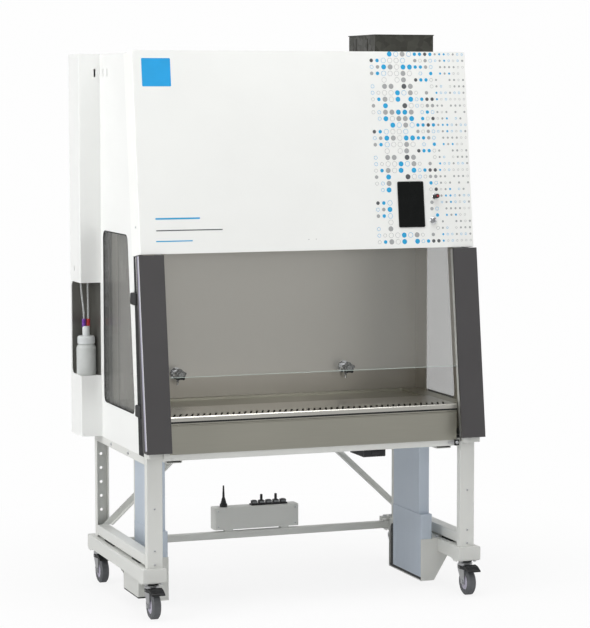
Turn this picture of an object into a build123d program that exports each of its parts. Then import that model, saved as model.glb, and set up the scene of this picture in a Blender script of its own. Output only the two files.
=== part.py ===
from build123d import *
import math
import os

os.makedirs("parts", exist_ok=True)

# Biological safety cabinet on a stand that lifts off a caster base.
# Working frame in mm: X right, Y to the back, Z up, floor at Z 0 and the cabinet symmetric about X 0.
# The whole part is moved once, at the end, so that its box stands centred on the origin.

# Fits
FIT = 0.1            # radial running fit of a pin, axle or knob in its bore
PLAY = 0.3           # gap between pieces that slide or turn past each other
SHEET = 2.5          # cabinet sheet
TUBE_WALL = 2.5      # frame tube wall

# Casters
WHEEL_D = 100.0
WHEEL_W = 32.0
CASTER_H = 137.0
CASTER_TRAIL = 22.0
CASTER_PLATE_T = 4.0
CASTER_FRONT_Y = -304.0
CASTER_REAR_Y = 402.0
AXLE_D = 10.0
PEDAL_PIN_D = 6.0
FORK_T = 3.0
FORK_GAP = 1.5       # wheel to fork leg
FORK_CROWN_Z = 112.0
RACE_D = 54.0
PEDAL_REACH = 86.0

# Caster beams and crossbar
BEAM_CX = 625.5
BEAM_W = 88.0
BEAM_H = 50.0
BEAM_Y0 = -347.0
BEAM_Y1 = 430.0
BEAM_WALL = 3.0
CROSSBAR = 28.0
CROSSBAR_Y0 = 356.0
CROSSBAR_Z0 = 144.0
CROSSBAR_PLATE_X = 549.0

# Lift columns
LIFT_CX = 535.5
HOUSING_W = 48.0
HOUSING_WALL = 2.2
HOUSING_Y0 = -137.0
HOUSING_Z1 = 283.0
LIFT_TUBE_Y0 = -110.0
LIFT_TUBE_Y1 = 149.0
LIFT_TUBE_Z0 = 50.0
LIFT_TUBE_WALL = 3.0
FOOT_Z0 = 28.0
FOOT_H = 10.0
CABLE_COVER_D = 25.5
CABLE_COVER_Z1 = 197.0
MAST_D = 30.0
MAST_TOP = 500.0
MAST_Y = 20.0
BRACKET_T = 4.0
BRACKET_FOOT_X = 566.0
BRACKET_KNEE = (622.0, 118.0)
BRACKET_TIP_X = 633.0
BRACKET_REAR_Y = 186.0
BRACKET_LAP = 15.0
DRIVE_BOX_W = 54.0
DRIVE_BOX_Y0 = -95.0
DRIVE_BOX_Y1 = 105.0
DRIVE_STRIP_H = 6.0

# Control box on the crossbar
CBOX_X0 = -167.0
CBOX_X1 = 188.0
CBOX_Z0 = 180.0
CBOX_H = 88.0
CBOX_D = 60.0
CBOX_FOOT_W = 34.0
GLAND_X = -121.0
GLAND_D = 30.0
GLAND_H = 48.0
SOCKETS_X0 = -7.0
SOCKETS_X1 = 145.0
SOCKET_COUNT = 5

# Stand that rises with the cabinet
REST_H = 8.0
REST_W = 40.0
LEG_HALF = 650.0
LEG_W = 60.0
LEG_D = 30.0
LEG_Y0 = -330.0
STAND_TOP = 595.0
RAIL_W = 46.0
RAIL_LOW_H = 39.0
RAIL_TOP_H = 30.0
REAR_LEG_W = 48.0
REAR_LEG_Y0 = 354.0
REAR_LEG_D = 30.0
REAR_HOLE_D = 11.0
REAR_HOLES = 5
FRONT_BEAM_Z0 = 578.0
FRONT_BEAM_Z1 = 605.0
FRONT_BEAM_SETBACK = 3.0
LIFT_RAIL_W = 61.0
BRACE_LEG = 25.0
BRACE_T = 3.0
BRACE_FOOT_X = 612.0
BRACE_HEAD_X = 238.0
BRACE_HEAD_Z = 583.0
CABLE_STRIP_W = 31.0
CABLE_STRIP_D = 29.0
CABLE_STRIP_GAP = 6.0
CABLE_STRIP_Z0 = 200.0

# Cabinet
CAB_HALF = 652.5
CAB_TOP = 2060.0
CAB_BACK = 411.0
SLOPE = 7.46
FASCIA_TOP_Y = -197.2
FASCIA_TOP_Z = 2067.1
FASCIA_L = 742.0
FASCIA_HALF = 658.0
FASCIA_DEPTH = 106.0
PANEL_DEPTH = 108.0          # side panel front edge behind the fascia face
PANEL_DEPTH_LOW = 147.0      # the same at the foot of the panel
FLANGE_W = 18.0
WIN_TOP = 1393.0
WIN_BOTTOM = 735.0
WIN_REAR = 230.0
WIN_DEPTH = 176.0
WIN_R = 28.0
WIN_LAP = 12.0
PANE_T = 6.0
INNER_PANE_T = 4.0
VENT_Y = (154.0, 211.0)
VENT_Z = 1989.0
VENT_W = 7.0
VENT_H = 30.0

# Guides, pillars, sash
SASH_HALF = 592.0
SASH_T = 6.0
SASH_DEPTH = 7.0             # glass face behind the fascia face
SASH_FOOT_Z = 884.0
SASH_L = 605.0
SASH_DROP = 150.0            # travel down to the closed stop
SASH_RISE = 430.0            # travel up to the full opening
SLOT_PLAY = 0.5
GUIDE_LIP = 18.0
GUIDE_LIP_T = 2.5
GUIDE_WEB = 4.0
GUIDE_REAR = 82.0
GUIDE_TOP_S = 150.0
PILLAR_PROUD = 7.5
PILLAR_OUT = 666.0
PILLAR_W = 95.0
PILLAR_GAP = 4.0
PILLAR_FOOT_Z = 616.0
PILLAR_SIDE_TOP = 30.0
PILLAR_SIDE_LOW = 48.0
SEAL_W = 12.5
CLAMP_T = 11.5
CLAMP_L = 64.0
CLAMP_H = 44.0
CLAMPS = ((-209.0, 1164.0), (-264.0, 757.0))
WEIGHT_T = 15.0
WEIGHT_W = 60.0
WEIGHT_H = 300.0
WEIGHT_Y0 = 250.0
WEIGHT_Z0 = 1090.0

# Work chamber
LINER_HALF = 626.0
LINER_BACK = 195.0
LINER_TOP = 1400.0
LINER_WIN_REAR = 85.0
WORKTOP = 740.0
TRAY_T = 2.0
PAN_Z0 = 640.0
TRAY_HALF = 571.5
TRAY_FRONT = -72.0
TRAY_RIM = 14.0
TRAY_DISH = 8.0
TRAY_GAP = 0.5
REAR_SLOTS = 34
GRILLE_FRONT = -341.0
GRILLE_NOSE_H = 17.0
GRILLE_SLOTS = 48
GRILLE_SLOT_W = 8.0
GRILLE_SLOT_Y0 = -331.0
GRILLE_SLOT_Y1 = -264.0
GRILLE_SLANT = 26.0
APRON_TOP = 717.0
APRON_HALF = 575.0
APRON_BEAD = 1.6
APRON_BEAD_DROP = 10.0
DIFF_SLOTS = 20
DIFF_SLOT_W = 10.0

# Plenum, filters, blower, duct
FILTER_H = 78.0
FILTER_SIDE = 16.0
EXHAUST_H = 66.0
DUCT_X0 = 382.0
DUCT_X1 = 626.0
DUCT_Y0 = 30.0
DUCT_Y1 = 303.0
DUCT_TOP = 2137.0
DUCT_WALL = 2.0
DUCT_BEAD = 3.0
DUCT_SLOT_W = 7.0
FAN_X = -120.0
FAN_Z = 1760.0
FAN_R = 125.0
FAN_W = 130.0
FAN_BLADES = 20
FAN_Y0 = 60.0
SCROLL_GAP = 14.0
SCROLL_GROW = 70.0
SCROLL_INLET = 90.0
MOTOR_D = 120.0
MOTOR_L = 60.0
SHAFT_D = 12.0
LAMP_D = 16.0
LAMP_HALF = 540.0
LAMP_DEPTH = 74.0
LAMP_Z = 1425.0

# Fascia fittings
HINGE_DEPTH = 103.0
HINGE_S = 6.0
HINGE_R = 5.0
HINGE_PIN_D = 5.0
HINGE_X = 420.0
HINGE_L = 80.0
DISPLAY_X0 = 358.0
DISPLAY_X1 = 460.0
DISPLAY_S0 = 493.0
DISPLAY_S1 = 662.0
DISPLAY_T = 3.0
ROUND_X = 509.0
ROUND_S = 549.0
ROUND_D = 17.0
ROUND_L = 24.0
KEY_X = 497.0
KEY_S = 639.0
KEY_D = 22.0
SPINDLE_D = 7.0

# Service column, bottle, taps, hand control
COLUMN_W = 83.0
COLUMN_Y0 = 260.0
NICHE_Z0 = 828.0
NICHE_Z1 = 1190.0
NICHE_LIP = 5.0
NICHE_BACK = 14.0
NICHE_R = 26.0
BOTTLE_GAP = 1.5
BOTTLE_Y = 335.0
BOTTLE_D = 75.0
BOTTLE_H = 122.0
CAP_D = 66.0
CAP_H = 30.0
NOZZLE_D = 28.0
NOZZLE_H = 38.0
COUPLING_D = 13.0
COUPLING_H = 27.0
COUPLING_X = 8.5
LINE_D = 7.0
TAP_X = (-377.0, 316.0)
TAP_Z = 836.0
TAP_KNOB_D = 46.0
TAP_KNOB_L = 26.0
TAP_BODY_D = 24.0
TAP_REACH = 46.0
TAP_SPINDLE_D = 8.0
TAP_SPOUT_DROP = 43.0
HAND_X0 = 201.0
HAND_X1 = 287.0
HAND_Y0 = -325.0
HAND_Y1 = -175.0
HAND_H = 27.0
ROCKER_W = 30.0
ROCKER_H = 15.0

# Heights that follow
BEAM_Z0 = CASTER_H
BEAM_Z1 = BEAM_Z0 + BEAM_H
BEAM_IN = BEAM_CX - BEAM_W / 2
RAIL_LOW_Z0 = BEAM_Z1 + REST_H
RAIL_LOW_Z1 = RAIL_LOW_Z0 + RAIL_LOW_H
RAIL_TOP_Z0 = STAND_TOP - RAIL_TOP_H
LEG_Y1 = LEG_Y0 + LEG_D
WHEEL_R = WHEEL_D / 2
PANEL_IN = CAB_HALF - SHEET
TAN = math.tan(math.radians(SLOPE))
COS = math.cos(math.radians(SLOPE))


def block(x0, x1, y0, y1, z0, z1):
    size = Box(x1 - x0, y1 - y0, z1 - z0)
    return Pos((x0 + x1) / 2, (y0 + y1) / 2, (z0 + z1) / 2) * size


def side_plate(points, x0, x1, radius=0.0):
    # A plate seen from the side: points are (y, z), thickness runs from x0 to x1.
    face = Polygon(*points, align=None)
    if radius > 0:
        face = fillet(face.vertices(), radius)
    return extrude(Plane.YZ.offset(x0) * face, x1 - x0, dir=(1, 0, 0))


def front_plate(points, y0, y1, radius=0.0):
    # A plate seen from the front: points are (x, z), thickness runs from y0 back to y1.
    face = Polygon(*points, align=None)
    if radius > 0:
        face = fillet(face.vertices(), radius)
    return extrude(Plane.XZ.offset(-y0) * face, y1 - y0, dir=(0, 1, 0))


def top_plate(points, z0, z1, radius=0.0):
    face = Polygon(*points, align=None)
    if radius > 0:
        face = fillet(face.vertices(), radius)
    return extrude(Plane.XY.offset(z0) * face, z1 - z0, dir=(0, 0, 1))


def tube_z(x0, x1, y0, y1, z0, z1, wall, radius):
    outer = RectangleRounded(x1 - x0, y1 - y0, radius)
    inner = Rectangle(x1 - x0 - 2 * wall, y1 - y0 - 2 * wall)
    return Pos((x0 + x1) / 2, (y0 + y1) / 2, z0) * extrude(outer - inner, z1 - z0)


def tube_y(x0, x1, y0, y1, z0, z1, wall, radius):
    outer = RectangleRounded(x1 - x0, z1 - z0, radius)
    inner = Rectangle(x1 - x0 - 2 * wall, z1 - z0 - 2 * wall)
    profile = Plane.XZ * (outer - inner)
    return Pos((x0 + x1) / 2, y1, (z0 + z1) / 2) * extrude(profile, y1 - y0)


def tube_x(x0, x1, y0, y1, z0, z1, wall, radius):
    outer = RectangleRounded(y1 - y0, z1 - z0, radius)
    inner = Rectangle(y1 - y0 - 2 * wall, z1 - z0 - 2 * wall)
    profile = Plane.YZ * (outer - inner)
    return Pos(x0, (y0 + y1) / 2, (z0 + z1) / 2) * extrude(profile, x1 - x0)


def rod_x(radius, x0, x1, y, z):
    return Pos((x0 + x1) / 2, y, z) * Rot(0, 90, 0) * Cylinder(radius, x1 - x0)


def rod_y(radius, y0, y1, x, z):
    return Pos(x, (y0 + y1) / 2, z) * Rot(90, 0, 0) * Cylinder(radius, y1 - y0)


def rod_z(radius, z0, z1, x, y):
    return Pos(x, y, (z0 + z1) / 2) * Cylinder(radius, z1 - z0)


def both(shape):
    # The right-hand piece and its mirror image on the left.
    return Compound(list(shape.solids()) + list(mirror(shape, about=Plane.YZ).solids()))


def gather(*shapes):
    solids = []
    for shape in shapes:
        solids.extend(shape.solids())
    return Compound(solids)


def slope_y(depth, z):
    # Y of the plane that lies depth behind the fascia face, at height z.
    return FASCIA_TOP_Y + depth / COS - (FASCIA_TOP_Z - z) * TAN


def slope_s(depth, z):
    # Distance down the slope at which the plane depth behind the fascia face reaches height z.
    return (FASCIA_TOP_Z - z) / COS - depth * TAN


def slope_pt(depth, s):
    # (Y, Z) of the point depth behind the fascia face and s down the slope.
    return (FASCIA_TOP_Y + (depth - s * TAN) * COS, FASCIA_TOP_Z - (s + depth * TAN) * COS)


def on_slope(shape):
    # Local frame on the fascia: X across, Y is depth behind its face, Z is 0 at its top edge.
    return Pos(0, FASCIA_TOP_Y, FASCIA_TOP_Z) * Rot(-SLOPE, 0, 0) * shape


nodes = {}


# Casters, each drawn about its swivel axis
def caster_fork():
    leg_in = WHEEL_W / 2 + FORK_GAP
    leg_out = leg_in + FORK_T
    back = 28.0
    axle_y = -CASTER_TRAIL
    outline = [(-30, FORK_CROWN_Z), (back, FORK_CROWN_Z), (back, FORK_CROWN_Z - 14)]
    outline += [(axle_y + 13, WHEEL_R - 6), (axle_y - 13, WHEEL_R - 6), (-34, FORK_CROWN_Z - 24)]
    leg = side_plate(outline, leg_in, leg_out, 5)
    leg += rod_x(13, leg_in, leg_out, axle_y, WHEEL_R)
    legs = leg + mirror(leg, about=Plane.YZ)
    crown = block(-leg_out, leg_out, -30, back, FORK_CROWN_Z - FORK_T, FORK_CROWN_Z)
    race_top = BEAM_Z0 - CASTER_PLATE_T - PLAY
    race_r = RACE_D / 2
    section = Polygon((0, FORK_CROWN_Z), (race_r, FORK_CROWN_Z), (race_r, FORK_CROWN_Z + 8),
                      (race_r - 5, FORK_CROWN_Z + 14), (race_r - 5, race_top), (0, race_top), align=None)
    race = revolve(Plane.XZ * section, Axis.Z)
    axle = rod_x(AXLE_D / 2, -leg_out - 6, leg_out + 6, axle_y, WHEEL_R)
    nut = Pos(leg_out + 2.5, axle_y, WHEEL_R) * Rot(0, 90, 0) * extrude(RegularPolygon(9, 6), 2.5, both=True)
    pin = rod_x(PEDAL_PIN_D / 2, leg_out, leg_out + 5.5, 0, FORK_CROWN_Z - 8)
    side = nut + pin
    return legs + crown + race + axle + side + mirror(side, about=Plane.YZ)


def caster_wheel():
    half = WHEEL_W / 2
    bore = AXLE_D / 2 + FIT
    hub_r = WHEEL_R * 0.62
    section = Polygon((-half - 1, bore), (-half - 1, bore + 7), (-half + 6, bore + 9), (-half + 6, hub_r - 5),
                      (-half, hub_r), (-half, WHEEL_R - 6), (-half + 5, WHEEL_R), (half - 5, WHEEL_R),
                      (half, WHEEL_R - 6), (half, hub_r), (half - 6, hub_r - 5), (half - 6, bore + 9),
                      (half + 1, bore + 7), (half + 1, bore), align=None)
    wheel = revolve(Plane.XY * section, Axis.X)
    return Pos(0, -CASTER_TRAIL, WHEEL_R) * wheel


def caster_pedal():
    leg_out = WHEEL_W / 2 + FORK_GAP + FORK_T
    arm_in = leg_out + 0.7
    arm_out = arm_in + 4.8
    pin_z = FORK_CROWN_Z - 8
    arm_points = [(-37, pin_z - 4), (8, pin_z - 6), (8, pin_z + 5.5), (-37, pin_z + 5.5)]
    arm = side_plate(arm_points, arm_in, arm_out)
    arm -= rod_x(PEDAL_PIN_D / 2 + FIT, arm_in - 1, arm_out + 1, 0, pin_z)
    hood = side_plate([(-36, pin_z), (-36, pin_z + 13), (-60, pin_z + 10), (-PEDAL_REACH, pin_z - 2),
                       (-PEDAL_REACH, pin_z - 7), (-62, pin_z - 3)], -arm_out, arm_out)
    pedal = hood + arm + mirror(arm, about=Plane.YZ)
    tread = [(-64.0, pin_z + 7.2), (-70.0, pin_z + 4.4), (-76.0, pin_z + 1.7)]
    for rib_y, rib_z in tread:
        pedal += block(-arm_out + 3, arm_out - 3, rib_y - 1.2, rib_y + 1.2, rib_z - 4, rib_z + 2.2)
    return pedal


fork = caster_fork()
wheel = caster_wheel()
pedal = caster_pedal()
CORNERS = {"fl": (-BEAM_CX, CASTER_FRONT_Y), "fr": (BEAM_CX, CASTER_FRONT_Y),
           "rl": (-BEAM_CX, CASTER_REAR_Y), "rr": (BEAM_CX, CASTER_REAR_Y)}
for corner, (cx, cy) in CORNERS.items():
    nodes["caster_fork_" + corner] = Pos(cx, cy, 0) * fork
    nodes["caster_wheel_" + corner] = Pos(cx, cy, 0) * wheel
    nodes["caster_pedal_" + corner] = Pos(cx, cy, 0) * pedal

# Caster beams: inverted channels with end plates, caster plates and ears round each caster
beam_out = BEAM_CX + BEAM_W / 2
beam = block(BEAM_IN, beam_out, BEAM_Y0, BEAM_Y1, BEAM_Z0, BEAM_Z1)
long_edges = beam.edges().filter_by(Axis.Y).group_by(Axis.Z)[-1]
beam = fillet(long_edges, BEAM_WALL + 1)
beam -= block(BEAM_IN + BEAM_WALL, beam_out - BEAM_WALL, BEAM_Y0 + BEAM_WALL, BEAM_Y1 - BEAM_WALL,
              BEAM_Z0 - 1, BEAM_Z1 - BEAM_WALL)
for cy in (CASTER_FRONT_Y, CASTER_REAR_Y):
    plate_y1 = min(cy + 36, BEAM_Y1)
    beam += block(BEAM_IN + 1, beam_out - 1, cy - 36, plate_y1, BEAM_Z0 - CASTER_PLATE_T, BEAM_Z0)
    ear = side_plate([(cy - 26, BEAM_Z0 + 2), (cy - 15, BEAM_Z0 - 9), (cy + 15, BEAM_Z0 - 9),
                      (cy + 26, BEAM_Z0 + 2)], BEAM_IN, BEAM_IN + 1.5)
    beam += ear
    beam += Pos(BEAM_W - 1.5, 0, 0) * ear
nodes["caster_beams"] = both(beam)

cross = tube_x(-BEAM_IN, BEAM_IN, CROSSBAR_Y0, CROSSBAR_Y0 + CROSSBAR, CROSSBAR_Z0, CROSSBAR_Z0 + CROSSBAR,
               TUBE_WALL, 3)
tie = block(CROSSBAR_PLATE_X, BEAM_IN + 18, CROSSBAR_Y0, CROSSBAR_Y0 + CROSSBAR, BEAM_Z1, BEAM_Z1 + 4)
tie += block(CROSSBAR_PLATE_X, CROSSBAR_PLATE_X + 4, CROSSBAR_Y0, CROSSBAR_Y0 + CROSSBAR,
             CROSSBAR_Z0 + CROSSBAR, BEAM_Z1 + 4)
nodes["base_crossbar"] = cross + tie + mirror(tie, about=Plane.YZ)

# Lift columns: bracket, foot, housing, mast, moving tube
house_x0 = LIFT_CX - HOUSING_W / 2
house_x1 = LIFT_CX + HOUSING_W / 2
channel_x0 = house_x0 + HOUSING_WALL
channel_x1 = house_x1 - HOUSING_WALL
house_y1 = LIFT_TUBE_Y1 + PLAY + HOUSING_WALL
foot_z1 = FOOT_Z0 + FOOT_H
foot_y1 = house_y1 + CABLE_COVER_D
housing = extrude(RectangleRounded(HOUSING_W, house_y1 - HOUSING_Y0, 7), HOUSING_Z1 - foot_z1)
housing = Pos(LIFT_CX, (HOUSING_Y0 + house_y1) / 2, foot_z1) * housing
housing -= block(channel_x0, channel_x1, LIFT_TUBE_Y0 - PLAY, LIFT_TUBE_Y1 + PLAY,
                 foot_z1 - 1, HOUSING_Z1 + 1)
for groove_y in (LIFT_TUBE_Y0 - 9, LIFT_TUBE_Y1 - 30):
    for groove_x in (house_x0, house_x1):
        housing -= Pos(groove_x, groove_y, (foot_z1 + HOUSING_Z1) / 2) * Rot(0, 0, 45) * Box(
            2, 2, HOUSING_Z1 - foot_z1 + 2)
nodes["lift_housings"] = both(housing)

foot = top_plate([(house_x0, HOUSING_Y0), (house_x1, HOUSING_Y0), (house_x1, foot_y1), (house_x0, foot_y1)],
                 FOOT_Z0, foot_z1, 4)
cover_profile = RectangleRounded(HOUSING_W - 4, CABLE_COVER_D, 6)
cover = Pos(LIFT_CX, house_y1 + CABLE_COVER_D / 2, foot_z1) * extrude(cover_profile, CABLE_COVER_Z1 - foot_z1)
mast = rod_z(MAST_D / 2, foot_z1, MAST_TOP, LIFT_CX, MAST_Y)
drive_x0 = house_x1 + BRACKET_T
drive_x1 = drive_x0 + DRIVE_BOX_W
drive_strip = block(-drive_x1 + 2, -drive_x0, DRIVE_BOX_Y0 + 2, DRIVE_BOX_Y1 - 2,
                    FOOT_Z0, FOOT_Z0 + DRIVE_STRIP_H)
nodes["lift_feet"] = gather(both(foot + cover + mast), drive_strip)

drive = top_plate([(-drive_x1, DRIVE_BOX_Y0), (-drive_x0, DRIVE_BOX_Y0), (-drive_x0, DRIVE_BOX_Y1),
                   (-drive_x1, DRIVE_BOX_Y1)], FOOT_Z0 + DRIVE_STRIP_H, BEAM_Z0 - PLAY, 5)
nodes["drive_box"] = drive

gusset_points = [(house_x0, FOOT_Z0 - BRACKET_T), (BRACKET_FOOT_X, FOOT_Z0 - BRACKET_T), BRACKET_KNEE,
                 (BRACKET_TIP_X, BEAM_Z0), (BEAM_IN, BEAM_Z0), (BEAM_IN, BEAM_Z1), (house_x0, BEAM_Z1)]
gusset = front_plate(gusset_points, HOUSING_Y0 - BRACKET_T, HOUSING_Y0)
rear_gusset = front_plate(gusset_points, BRACKET_REAR_Y, BRACKET_REAR_Y + BRACKET_T)
bracket_y1 = BRACKET_REAR_Y + BRACKET_T
sole = block(house_x0, house_x1 + BRACKET_T, HOUSING_Y0, BRACKET_REAR_Y, FOOT_Z0 - BRACKET_T, FOOT_Z0)
web = block(house_x1, house_x1 + BRACKET_T, HOUSING_Y0, BRACKET_REAR_Y, FOOT_Z0, BEAM_Z1)
strap = block(house_x1, BEAM_IN + BRACKET_LAP, HOUSING_Y0 - BRACKET_T, bracket_y1, BEAM_Z1, BEAM_Z1 + 3)
nodes["lift_brackets"] = both(gusset + rear_gusset + sole + web + strap)

tube_x0 = channel_x0 + PLAY
tube_x1 = channel_x1 - PLAY
lift_tube = tube_z(tube_x0, tube_x1, LIFT_TUBE_Y0, LIFT_TUBE_Y1, LIFT_TUBE_Z0, RAIL_TOP_Z0, LIFT_TUBE_WALL, 2)
lift_head = block(tube_x0 + 1, tube_x1 - 1, LIFT_TUBE_Y0 + 1, LIFT_TUBE_Y1 - 1, RAIL_TOP_Z0 - 5, RAIL_TOP_Z0)
nodes["lift_tubes"] = both(lift_tube + lift_head)

# Control box with its feet on the crossbar, gland, sockets and posts
cbox_y0 = CROSSBAR_Y0 + 1
cbox_y1 = cbox_y0 + CBOX_D
cbox_z1 = CBOX_Z0 + CBOX_H
cbox = top_plate([(CBOX_X0, cbox_y0), (CBOX_X1, cbox_y0), (CBOX_X1, cbox_y1), (CBOX_X0, cbox_y1)],
                 CBOX_Z0, cbox_z1, 7)
cbox = chamfer(cbox.faces().sort_by(Axis.Z)[-1].edges(), 2)
cross_z1 = CROSSBAR_Z0 + CROSSBAR
for foot_x in (CBOX_X0 + 60, CBOX_X1 - 60):
    cbox += block(foot_x - CBOX_FOOT_W / 2, foot_x + CBOX_FOOT_W / 2, cbox_y0 + 2, CROSSBAR_Y0 + CROSSBAR - 2,
                  cross_z1, CBOX_Z0)
nodes["control_box"] = cbox

fit_y = cbox_y0 + CBOX_D / 2
gland_section = Polygon((0, 0), (GLAND_D / 2, 0), (GLAND_D / 2, 12), (GLAND_D / 2 - 4, 14), (5, GLAND_H - 8),
                        (3, GLAND_H + 38), (0, GLAND_H + 38), align=None)
gland = Pos(GLAND_X, fit_y, cbox_z1) * revolve(Plane.XZ * gland_section, Axis.Z)
socket_base = block(SOCKETS_X0, SOCKETS_X1, fit_y - 14, fit_y + 14, cbox_z1, cbox_z1 + 6)
pitch = (SOCKETS_X1 - SOCKETS_X0) / SOCKET_COUNT
for number in range(SOCKET_COUNT):
    sx = SOCKETS_X0 + pitch * (number + 0.5)
    plug = block(sx - pitch * 0.36, sx + pitch * 0.36, fit_y - 10, fit_y + 10, cbox_z1 + 6, cbox_z1 + 18)
    socket_base += plug
for number in (1, 3):
    sx = SOCKETS_X0 + pitch * (number + 0.5)
    socket_base += rod_z(5, cbox_z1 + 18, cbox_z1 + 42, sx, fit_y)
nodes["control_fittings"] = gather(gland, socket_base)

# Rests that carry the stand when it is down
rests = []
for ry0, ry1 in ((-217.0, -116.0), (140.0, 261.0)):
    rest_top = RAIL_LOW_Z0 - PLAY
    profile = [(ry0, BEAM_Z1), (ry1, BEAM_Z1), (ry1 - 4, rest_top), (ry0 + 4, rest_top)]
    rest_cx = LEG_HALF - RAIL_W / 2
    rests.append(side_plate(profile, rest_cx - REST_W / 2, rest_cx + REST_W / 2))
nodes["frame_rests"] = both(gather(*rests))

# Side frames: tube leg in front, slotted channel leg behind, two rails
leg_z0 = BEAM_Z1 + PLAY
front_leg = tube_z(LEG_HALF - LEG_W, LEG_HALF, LEG_Y0, LEG_Y1, leg_z0, STAND_TOP, TUBE_WALL, 3)
low_rail = tube_y(LEG_HALF - RAIL_W, LEG_HALF, LEG_Y1, REAR_LEG_Y0, RAIL_LOW_Z0, RAIL_LOW_Z1, TUBE_WALL, 3)
top_rail = tube_y(LEG_HALF - RAIL_W, LEG_HALF, LEG_Y1, REAR_LEG_Y0, RAIL_TOP_Z0, STAND_TOP, TUBE_WALL, 3)
rear_x0 = LEG_HALF - REAR_LEG_W
rear_y1 = REAR_LEG_Y0 + REAR_LEG_D
rear_leg = block(rear_x0, LEG_HALF, REAR_LEG_Y0, rear_y1, leg_z0, STAND_TOP)
rear_leg -= block(rear_x0 + TUBE_WALL, LEG_HALF - TUBE_WALL, REAR_LEG_Y0 - 1, rear_y1 - TUBE_WALL,
                  leg_z0 - 1, STAND_TOP + 1)
hole_x = rear_x0 + REAR_LEG_W / 2
hole_pitch = (RAIL_TOP_Z0 - RAIL_LOW_Z1) / (REAR_HOLES + 1)
for number in range(REAR_HOLES):
    hole_z = RAIL_LOW_Z1 + hole_pitch * (number + 1)
    rear_leg -= rod_y(REAR_HOLE_D / 2, rear_y1 - TUBE_WALL - 1, rear_y1 + 1, hole_x, hole_z)
nodes["side_frames"] = both(front_leg + low_rail + top_rail + rear_leg)

# Front and rear beams, lift rails, knee braces and cable strips behind the lift tubes
front_y0 = LEG_Y0 + FRONT_BEAM_SETBACK
front_y1 = LEG_Y1 + FRONT_BEAM_SETBACK
leg_in = LEG_HALF - LEG_W
front_beam = tube_x(-leg_in, leg_in, front_y0, front_y1, FRONT_BEAM_Z0, FRONT_BEAM_Z1, TUBE_WALL, 3)
rear_beam = tube_x(-rear_x0, rear_x0, REAR_LEG_Y0, rear_y1, RAIL_TOP_Z0, STAND_TOP, TUBE_WALL, 3)
lift_rail = tube_y(LIFT_CX - LIFT_RAIL_W / 2, LIFT_CX + LIFT_RAIL_W / 2, front_y1, REAR_LEG_Y0,
                   RAIL_TOP_Z0, STAND_TOP, TUBE_WALL, 3)
brace_run = BRACE_FOOT_X - BRACE_HEAD_X
brace_rise = BRACE_HEAD_Z - RAIL_LOW_Z1
brace_angle = math.degrees(math.atan2(brace_rise, brace_run))
brace_len = math.hypot(brace_run, brace_rise) + 3 * BRACE_LEG
angle_section = Polygon((0, 0), (BRACE_LEG, 0), (BRACE_LEG, BRACE_T), (BRACE_T, BRACE_T),
                        (BRACE_T, BRACE_LEG), (0, BRACE_LEG), align=None)
brace = extrude(angle_section, brace_len, dir=(0, 0, 1))
brace = Pos(-BRACE_LEG / 2, 0, -1.5 * BRACE_LEG) * brace
brace = Rot(0, -(90 - brace_angle), 0) * mirror(brace, about=Plane.XZ)
brace = Pos(BRACE_FOOT_X, REAR_LEG_Y0, RAIL_LOW_Z1) * brace
brace &= block(0, LEG_HALF, REAR_LEG_Y0 - BRACE_LEG, REAR_LEG_Y0, RAIL_LOW_Z1, BRACE_HEAD_Z)
strip_y0 = LIFT_TUBE_Y1 + CABLE_STRIP_GAP
strip = tube_z(LIFT_CX - CABLE_STRIP_W / 2, LIFT_CX + CABLE_STRIP_W / 2, strip_y0, strip_y0 + CABLE_STRIP_D,
               CABLE_STRIP_Z0, RAIL_TOP_Z0, 2, 3)
beams = front_beam + rear_beam + lift_rail + mirror(lift_rail, about=Plane.YZ)
nodes["frame_beams"] = gather(beams, both(brace), both(strip))

# Side panels with the window opening, folded front edge and vents
panel_low = (slope_y(PANEL_DEPTH_LOW, STAND_TOP), STAND_TOP)
knee_z = FASCIA_TOP_Z - (FASCIA_L + PANEL_DEPTH * TAN) * COS
panel_knee = (slope_y(PANEL_DEPTH, knee_z), knee_z)
panel_top = (slope_y(PANEL_DEPTH, CAB_TOP), CAB_TOP)


def window_outline(rear, margin):
    top = WIN_TOP + margin
    bottom = WIN_BOTTOM - margin
    depth = WIN_DEPTH - margin
    return [(slope_y(depth, bottom), bottom), (rear + margin, bottom), (rear + margin, top),
            (slope_y(depth, top), top)]


panel_points = [panel_low, (CAB_BACK - SHEET, STAND_TOP), (CAB_BACK - SHEET, CAB_TOP), panel_top, panel_knee]
panel = side_plate(panel_points, PANEL_IN, CAB_HALF)
panel -= side_plate(window_outline(WIN_REAR, 0), PANEL_IN - 1, CAB_HALF + 1, WIN_R)
for vent_y in VENT_Y:
    vent = Plane.YZ.offset(PANEL_IN - 1) * Pos(vent_y, VENT_Z) * RectangleRounded(VENT_W, VENT_H, 2.5)
    panel -= extrude(vent, SHEET + 2)
fold = SHEET / COS
edge_points = [panel_low, (panel_low[0] + fold, panel_low[1]), (panel_knee[0] + fold, panel_knee[1]),
               (panel_top[0] + fold, panel_top[1]), panel_top, panel_knee]
panel += side_plate(edge_points, PANEL_IN - FLANGE_W, PANEL_IN)
nodes["side_panels"] = both(panel)

pane = side_plate(window_outline(WIN_REAR, WIN_LAP), PANEL_IN - PANE_T, PANEL_IN, WIN_R)
liner_out = LINER_HALF + SHEET
inner_pane = side_plate(window_outline(LINER_WIN_REAR, WIN_LAP), liner_out, liner_out + INNER_PANE_T, WIN_R)
nodes["side_windows"] = gather(both(pane), both(inner_pane))

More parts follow.
